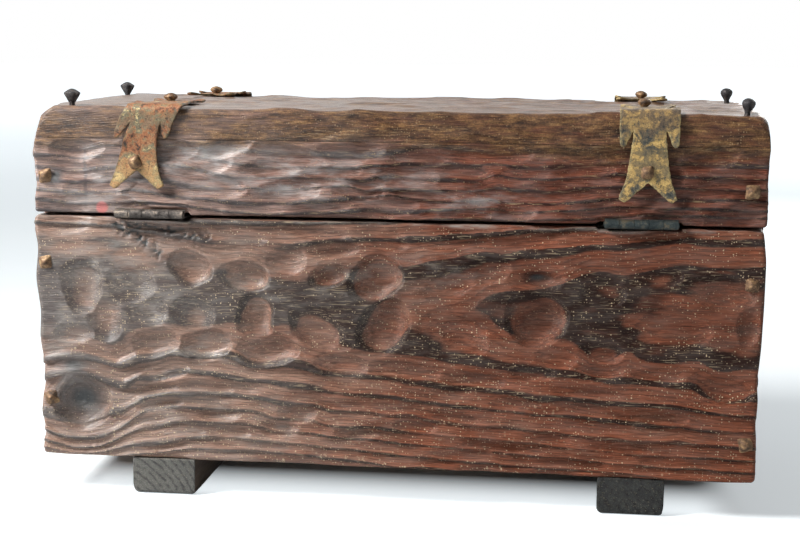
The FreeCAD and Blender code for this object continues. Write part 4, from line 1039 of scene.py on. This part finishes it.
def head_loop(rng, spot, profile, corners):
    """The points of a head on its shank, a closed loop of HEAD_SIDES at each profile step.

    A corners of 2 makes it round, and a high one square.
    """
    place, axis, width, turn = spot
    axis = Vector(axis).normalized()
    tilt = Vector((rng.uniform(-1, 1), rng.uniform(-1, 1), rng.uniform(-1, 1))) * HEAD_TILT
    out = (axis + tilt).normalized()
    right = (out.orthogonal() if abs(axis.z) > 0.5 else Vector((0, 0, 1)).cross(out)).normalized()
    up = out.cross(right)
    lobes = rng.uniform(-HEAD_LOBE, HEAD_LOBE, 4)
    points = []
    for radius, height in profile:
        for k in range(HEAD_SIDES):
            angle = 2 * math.pi * k / HEAD_SIDES
            c, s = abs(math.cos(angle)), abs(math.sin(angle))
            square = (c ** corners + s ** corners) ** (-1 / corners)
            waves = math.cos(angle), math.sin(2 * angle), math.cos(3 * angle)
            uneven = sum((lobe * wave for lobe, wave in zip(lobes, waves)), 1)
            reach = width / 2 * radius * square * uneven
            a = angle + turn
            point = Vector(place) + out * height + (right * math.cos(a) + up * math.sin(a)) * reach
            points.append(tuple(point))
    return points


def forged_heads(name, node, body, spots, profiles, corners, skin, seed):
    """Forged heads on shanks. A spot is (x, y, z), the outward axis, its width and its turn.

    A profile is (share of the half width, height) from the shank's end to the head's top.
    The heads take the profiles in turn.
    """
    rng = np.random.RandomState(seed)
    vertices, faces = [], []
    for spot, profile in zip(spots, itertools.cycle(profiles)):
        start, last = len(vertices), (len(profile) - 1) * HEAD_SIDES
        vertices += head_loop(rng, spot, profile, corners)
        for ring in range(start, start + last, HEAD_SIDES):
            for k in range(HEAD_SIDES):
                a, b = ring + k, ring + (k + 1) % HEAD_SIDES
                faces.append((a, b, b + HEAD_SIDES, a + HEAD_SIDES))
        faces.append(tuple(start + k for k in reversed(range(HEAD_SIDES))))
        faces.append(tuple(start + last + k for k in range(HEAD_SIDES)))
    piece = make_piece(name, vertices, faces, body, node, [skin])
    split = piece.modifiers.new("facets", "EDGE_SPLIT")
    split.split_angle = math.radians(38)


BOARD_NAIL = ((0.34, -9.0), (0.34, -1.5), (0.90, -1.2), (1.00, -0.2), (1.00, 0.7), (0.88, 1.3), (0.52, 3.4),
              (0.26, 4.4), (0.10, 4.8))
STRAP_NAIL = ((0.34, -9.0), (0.34, -1.2), (0.92, -0.6), (1.00, 0.0), (0.98, 0.8), (0.80, 1.8), (0.42, 3.3),
              (0.14, 3.9))
TOP_NAIL = ((0.34, -9.0), (0.34, -1.2), (0.52, 0.4), (0.96, 2.4), (1.00, 3.4), (0.84, 4.8), (0.44, 5.8),
            (0.14, 6.2))
CONE_STUD = ((0.40, -9.0), (0.36, -1.0), (0.34, 0.6), (0.58, 3.0), (0.92, 6.6), (1.00, 7.7), (0.97, 8.5),
             (0.48, 10.5), (0.16, 11.3))
ROUND_STUD = ((0.46, -9.0), (0.44, -1.0), (0.42, 0.8), (0.60, 2.8), (0.88, 5.0), (1.00, 7.0), (0.92, 8.8),
              (0.56, 10.3), (0.20, 10.9))


def nail_spots(heads, outward, face):
    """heads are (distance from the picture's left end, height, width, turn)."""
    return [((HALF_LENGTH - u, face, v + RUNNER_TOP), outward, width, turn)
            for u, v, width, turn in heads]


BACK, FRONT, UP = (0, 1, 0), (0, -1, 0), (0, 0, 1)
NAIL_SEAT = HALF_DEPTH - 1.6
BOARD_HEADS = {
    "base": ((9.5, 149.5, 10.0, 0.1), (11.0, 45.0, 10.2, 0.3), (530.8, 146.0, 10.2, -0.1),
             (530.5, 29.0, 10.0, 0.2)),
    "lid": ((10.8, 214.3, 10.0, 0.15), (528.3, 212.0, 10.2, 0.0)),
}
for body, side, seed in (("base", "back", 201), ("base", "front", 202), ("lid", "back", 203),
                         ("lid", "front", 204)):
    outward = BACK if side == "back" else FRONT
    forged_heads(f"{body}_{side}_nail_heads", f"{body}_{side}_nails", body,
                 nail_spots(BOARD_HEADS[body], outward, NAIL_SEAT * outward[1]),
                 [BOARD_NAIL], 7.0, NAIL_IRON, seed)


# ---------------------------------------------------------------------------------- straps

# Half of a plate, from the bend down to the tail's V: (from its middle line, down).
HALF_OUTLINE = (
    (21.0, 0.0), (21.0, 8.0), (20.9, 16.0), (20.7, 22.0), (19.8, 24.4), (17.8, 24.8), (16.2, 22.8),
    (14.2, 18.4), (12.4, 14.2), (11.4, 13.0), (11.4, 15.0), (12.2, 22.0), (13.2, 32.0), (14.8, 42.0),
    (16.8, 51.0), (20.2, 59.5), (20.6, 61.2), (17.0, 64.0), (15.6, 63.4), (0.7, 50.2),
)

# The bend's radius at the sheet's middle, its length round a quarter turn, and how far its
# centre is from the two faces.
BEND = 4.9
QUARTER = BEND * math.pi / 2
ARRIS = 4.0
SHEET = 1.5


def outline_loop(rng, wear):
    """Both plates' outline, one after the other, in the flat sheet (across, along)."""
    half = [Vector(p) for p in HALF_OUTLINE]
    face = half + [Vector((-x, y)) for x, y in reversed(half)]
    loop = face + [Vector((-p.x, -p.y)) for p in face]
    dense = []
    for a, b in zip(loop, loop[1:] + loop[:1]):
        count = max(1, int((b - a).length / 1.6))
        for k in range(count):
            p = a.lerp(b, k / count)
            dense.append(p + Vector((rng.uniform(-wear, wear), rng.uniform(-wear, wear))))
    return [p for k, p in enumerate(dense) if (p - dense[k - 1]).length > 0.35]


def distance_to(loop, p):
    """How far a point is from a closed outline."""
    nearest = 1e9
    for a, b in zip(loop, loop[1:] + loop[:1]):
        edge = b - a
        t = max(0.0, min(1.0, (p - a).dot(edge) / max(edge.length_squared, 1e-9)))
        nearest = min(nearest, (p - a - edge * t).length)
    return nearest


def flat_sheet(rng, wear):
    """The flat sheet's points, its faces, and which of its points are on the outline."""
    loop = outline_loop(rng, wear)
    inner = []
    for x in np.arange(-22.0, 22.1, 2.0):
        for y in np.arange(-66.0, 66.1, 2.0):
            p = Vector((x + rng.uniform(-0.3, 0.3), y + rng.uniform(-0.3, 0.3)))
            if distance_to(loop, p) > 1.0:
                inner.append(p)
    made = geometry.delaunay_2d_cdt(loop + inner, [], [list(range(len(loop)))], 1, 1e-5)
    rim = np.arange(len(made[0])) < len(loop)
    return np.array([tuple(p) for p in made[0]]), [tuple(f) for f in made[2]], rim.astype(float)


def make_strap(name, middle, lean, curl, reach, skin, seed):
    """A thin barbed plate over the arris.

    lean shifts its tail along the chest, curl lifts its barbs and tails, and reach scales
    the length of what hangs down.
    """
    rng = np.random.RandomState(seed)
    points, faces, rim = flat_sheet(rng, 0.28)
    across, along = points.T
    along = along * np.where(along > 0, reach, 1.0)
    down, back = np.clip(along, 0, None), np.clip(-along, 0, None)
    across = across + lean * (1 - np.exp(-down / 20.0)) - lean * back / 400.0
    angle = np.clip(along / BEND + math.pi / 4, 0, math.pi / 2)
    flat_down = np.clip(along - QUARTER / 2, 0, None)
    flat_back = np.clip(-along - QUARTER / 2, 0, None)
    dent = 0.35 * noise(np.column_stack([across, along, along * 0]), (13.0, 15.0, 9.0), seed)
    barbs = smooth((abs(across) - 12.0) / 9.0) * smooth(1 - abs(abs(along) - 22.0) / 8.0)
    tails = smooth((abs(along) - 56.0) / 9.0)
    radius = BEND + np.clip(0.25 + dent + curl * (barbs + tails), -0.1, 3.0)
    y = HALF_DEPTH - ARRIS + np.sin(angle) * radius - flat_back
    z = LID_TOP - ARRIS + np.cos(angle) * radius - flat_down
    front = name.startswith("front")
    x = middle + across if front else middle - across
    piece = make_piece(f"strap_{name}_plate", np.column_stack([x, -y if front else y, z]), faces,
                       "lid", f"strap_{name}", [skin], facts={"rim": rim})
    corners = [Vector(piece.data.vertices[i].co) for i in faces[0]]
    if (geometry.normal(corners).y > 0) == front:
        piece.data.flip_normals()
    plate = piece.modifiers.new("plate", "SOLIDIFY")
    plate.thickness, plate.offset = SHEET * MM, 0.0
    worn = piece.modifiers.new("rim", "BEVEL")
    worn.width, worn.segments = 0.3 * MM, 2
    worn.limit_method, worn.angle_limit = "ANGLE", math.radians(50)


# Each strap's middle along the chest, its lean, curl and reach, its finish and its seed.
for name, middle, lean, curl, reach, skin, seed in (
        ("back_left", -185.5, 0.0, 0.8, 1.0, DARK_STRAP, 301),
        ("back_right", 173.8, -15.0, 1.2, 0.955, RUST_STRAP, 302),
        ("front_left", -183.0, 1.0, 1.6, 1.0, DARK_STRAP, 303),
        ("front_right", 176.0, -1.0, 1.8, 0.97, RUST_STRAP, 304)):
    make_strap(name, middle, lean, curl, reach, skin, seed)

FACE_NAILS = [((-184.5, 119.3, 252.9), BACK, 9.0, 0.1), ((188.6, 119.3, 254.0), BACK, 9.4, 0.4),
              ((-183.0, -119.3, 252.9), FRONT, 9.0, 0.2), ((176.0, -119.3, 252.9), FRONT, 9.0, 0.0)]
TOP_NAILS = [((-182.2, 75.0, 297.2), UP, 9.0, 0.1), ((173.0, 75.0, 297.2), UP, 9.0, 0.3),
             ((-183.0, -75.0, 297.2), UP, 9.0, 0.2), ((176.0, -75.0, 297.2), UP, 9.0, 0.0)]
STUDS = [((241.5, 102.5, LID_TOP + 0.1), UP, 11.0, 0.6),
         ((-253.5, 102.5, LID_TOP - 1.0), UP, 9.0, 0.2),
         ((259.5, -90.5, LID_TOP - 1.0), UP, 10.6, 0.3),
         ((-254.5, -101.5, LID_TOP - 1.0), UP, 8.8, 0.0)]
forged_heads("strap_face_nail_heads", "strap_face_nails", "lid", FACE_NAILS, [STRAP_NAIL], 4.0,
             NAIL_IRON, 205)
forged_heads("strap_top_nail_heads", "strap_top_nails", "lid", TOP_NAILS, [TOP_NAIL], 4.0,
             NAIL_IRON, 206)
forged_heads("corner_stud_heads", "corner_studs", "lid", STUDS, [CONE_STUD, ROUND_STUD], 3.6,
             STUD_IRON, 207)


# ------------------------------------------------------ finishes of the CAD parts that stay

def dress(nodes, material):
    for node in nodes:
        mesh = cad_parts[node].data
        mesh.materials.clear()
        mesh.materials.append(material)


dress(["floor_board_front", "floor_board_back"], BARE_X)
dress(["hinge_left_base_leaf", "hinge_left_lid_leaf", "hinge_left_pin"], HINGE_LEFT)
dress(["hinge_right_base_leaf", "hinge_right_lid_leaf", "hinge_right_pin",
       "base_hinge_screws", "lid_hinge_screws"], HINGE_RIGHT)
dress(["floor_nails", "runner_nails"], NAIL_IRON)


# --------------------------------------------------------------------- floor, light, camera

FLOOR_RINGS, FLOOR_SPOKES = (0.6, 1.2, 2.5, 6.0, 16.0), 48
FLOOR_GLOW = 0.30

# Half the length and half the depth of the painted patch beneath the chest: where it starts to
# fade and where it ends. It holds a painted shadow in the middle, darker than the floor, and
# painted light by the sides, lighter than it.
PAINTED_PATCH_ENDS, PAINTED_PATCH_SIDES = (0.225, 0.262), (0.098, 0.126)
PAINTED_SHADOW, PAINTED_LIGHT = -0.55, 0.55


def floor_finish():
    """Light grey by the chest, whiter far away, and whiter to the picture's right as a painted fall-off of
    light. A painted shadow lies beneath the chest, with painted light by its sides.
    """
    n = Nodes("pale_floor")
    shade = n.mix(n.span(n.noise((2.0, 2.0, 2.0)), 0.3, 0.7), (0.66, 0.70, 0.73), (0.69, 0.73, 0.755))
    seen = n.add("LightPath", {}).outputs["Is Camera Ray"]
    away = n.add("VectorMath", {0: n.place}, operation="LENGTH").outputs["Value"]
    spot = n.add("SeparateXYZ", {"Vector": n.place}).outputs
    # The glow is dimmer to the picture's left: a painted fall-off of light.
    glow = n.times(n.span(away, 0.5, 3.5, FLOOR_GLOW, 0.85), n.span(spot[0], -0.8, 1.2, 1.15, 0.85))
    glow = n.plus(glow, n.span(away, 2.5, 8.0, 0.0, 0.5))
    along, across = n.math("ABSOLUTE", spot[0]), n.math("ABSOLUTE", spot[1])
    # A painted shadow beneath the middle of the chest, and painted light towards its front and back.
    painted_patch = n.times(n.span(along, *PAINTED_PATCH_ENDS, 1.0, 0.0), n.span(across, *PAINTED_PATCH_SIDES, 1.0, 0.0))
    glow = n.plus(glow, n.times(painted_patch, n.span(across, 0.0, 0.10, PAINTED_SHADOW, PAINTED_LIGHT)), True)
    return n.finish(Base_Color=shade, Roughness=0.7, Specular_IOR_Level=0.2,
                    Emission_Color=(0.90, 0.965, 1.0), Emission_Strength=n.times(glow, seen))


def make_floor():
    """A wide light floor that stays white to the camera, keeps the chest's shadow and has a painted patch
    beneath it.
    """
    vertices, faces = [(0.0, 0.0, 0.0)], []
    for radius in FLOOR_RINGS:
        for k in range(FLOOR_SPOKES):
            angle = 2 * math.pi * k / FLOOR_SPOKES
            vertices.append((radius * math.cos(angle), radius * math.sin(angle), 0.0))
    for k in range(FLOOR_SPOKES):
        a, b = 1 + k, 1 + (k + 1) % FLOOR_SPOKES
        faces.append((0, a, b))
        for inner in range(0, (len(FLOOR_RINGS) - 1) * FLOOR_SPOKES, FLOOR_SPOKES):
            outer = inner + FLOOR_SPOKES
            faces.append((inner + a, outer + a, outer + b, inner + b))
    mesh = bpy.data.meshes.new("floor")
    mesh.from_pydata(vertices, [], faces)
    mesh.materials.append(floor_finish())
    floor = bpy.data.objects.new("floor", mesh)
    bpy.context.scene.collection.objects.link(floor)


def make_world():
    """Even studio light. The camera and shiny surfaces see a white backdrop behind the chest."""
    world = bpy.data.worlds.new("studio")
    world.use_nodes = True
    bpy.context.scene.world = world
    tree = world.node_tree
    soft, white = tree.nodes["Background"], tree.nodes.new("ShaderNodeBackground")
    for light, colour, strength in ((soft, (0.90, 0.96, 1.0, 1.0), 0.16), (white, (1.0,) * 4, 1.0)):
        light.inputs["Color"].default_value = colour
        light.inputs["Strength"].default_value = strength
    path = tree.nodes.new("ShaderNodeLightPath")
    direction = tree.nodes.new("ShaderNodeSeparateXYZ")
    tree.links.new(tree.nodes.new("ShaderNodeTexCoord").outputs["Generated"], direction.inputs[0])
    behind = tree.nodes.new("ShaderNodeMapRange")
    behind.inputs["From Min"].default_value = 0.3
    behind.inputs["From Max"].default_value = -0.5
    tree.links.new(direction.outputs["Y"], behind.inputs["Value"])

    def join(operation, a, b):
        node = tree.nodes.new("ShaderNodeMath")
        node.operation = operation
        tree.links.new(a, node.inputs[0])
        tree.links.new(b, node.inputs[1])
        return node.outputs[0]

    shiny = join("MULTIPLY", path.outputs["Is Glossy Ray"], behind.outputs["Result"])
    seen = join("MAXIMUM", path.outputs["Is Camera Ray"], path.outputs["Is Transmission Ray"])
    mixer = tree.nodes.new("ShaderNodeMixShader")
    tree.links.new(join("MAXIMUM", shiny, seen), mixer.inputs[0])
    tree.links.new(soft.outputs[0], mixer.inputs[1])
    tree.links.new(white.outputs[0], mixer.inputs[2])
    tree.links.new(mixer.outputs[0], tree.nodes["World Output"].inputs["Surface"])


def make_lamp(name, place, target, size, power, colour):
    """A round lamp that faces a target, in metres and watts."""
    lamp = bpy.data.lights.new(name, "AREA")
    lamp.shape, lamp.size, lamp.energy, lamp.color = "DISK", size, power, colour
    body = bpy.data.objects.new(name, lamp)
    body.location = place
    body.rotation_euler = (Vector(target) - Vector(place)).to_track_quat("-Z", "Y").to_euler()
    bpy.context.scene.collection.objects.link(body)


# The camera of the fit to the photograph: angles in degrees, place in metres, lens in mm.
CAMERA_YAW, CAMERA_PITCH, CAMERA_ROLL = 7.47, 8.92, 0.35
CAMERA_PLACE = (-0.1523, 1.2135, 0.3490)
CAMERA_LENS, CAMERA_SENSOR = 69.0, 36.0


def make_camera():
    yaw, pitch, roll = (math.radians(a) for a in (CAMERA_YAW, CAMERA_PITCH, CAMERA_ROLL))
    forward = Vector((math.sin(yaw) * math.cos(pitch), -math.cos(yaw) * math.cos(pitch), -math.sin(pitch)))
    right = Vector((-math.cos(yaw), -math.sin(yaw), 0.0))
    up = right.cross(forward)
    turned_right = right * math.cos(roll) + up * math.sin(roll)
    turned_up = up * math.cos(roll) - right * math.sin(roll)
    camera = bpy.data.objects.new("camera", bpy.data.cameras.new("camera"))
    camera.data.lens, camera.data.sensor_width = CAMERA_LENS, CAMERA_SENSOR
    axes = Matrix((turned_right, turned_up, -forward)).transposed()
    camera.matrix_world = Matrix.Translation(CAMERA_PLACE) @ axes.to_4x4()
    camera.data.clip_start, camera.data.clip_end = 0.05, 50.0
    bpy.context.scene.collection.objects.link(camera)
    bpy.context.scene.camera = camera


WARM, COOL = (1.0, 0.985, 0.96), (0.95, 0.98, 1.0)
make_floor()
make_world()
make_lamp("key", (1.20, 0.66, 1.25), (0.0, 0.1, 0.15), 0.6, 56.0, WARM)
make_lamp("front", (-0.9, -1.7, 0.9), (0.0, 0.0, 0.15), 1.0, 14.0, WARM)
make_lamp("fill", (-1.3, 1.6, 0.5), (0.0, 0.0, 0.15), 1.0, 3.0, COOL)
make_camera()
bpy.context.scene.view_settings.view_transform = "Standard"
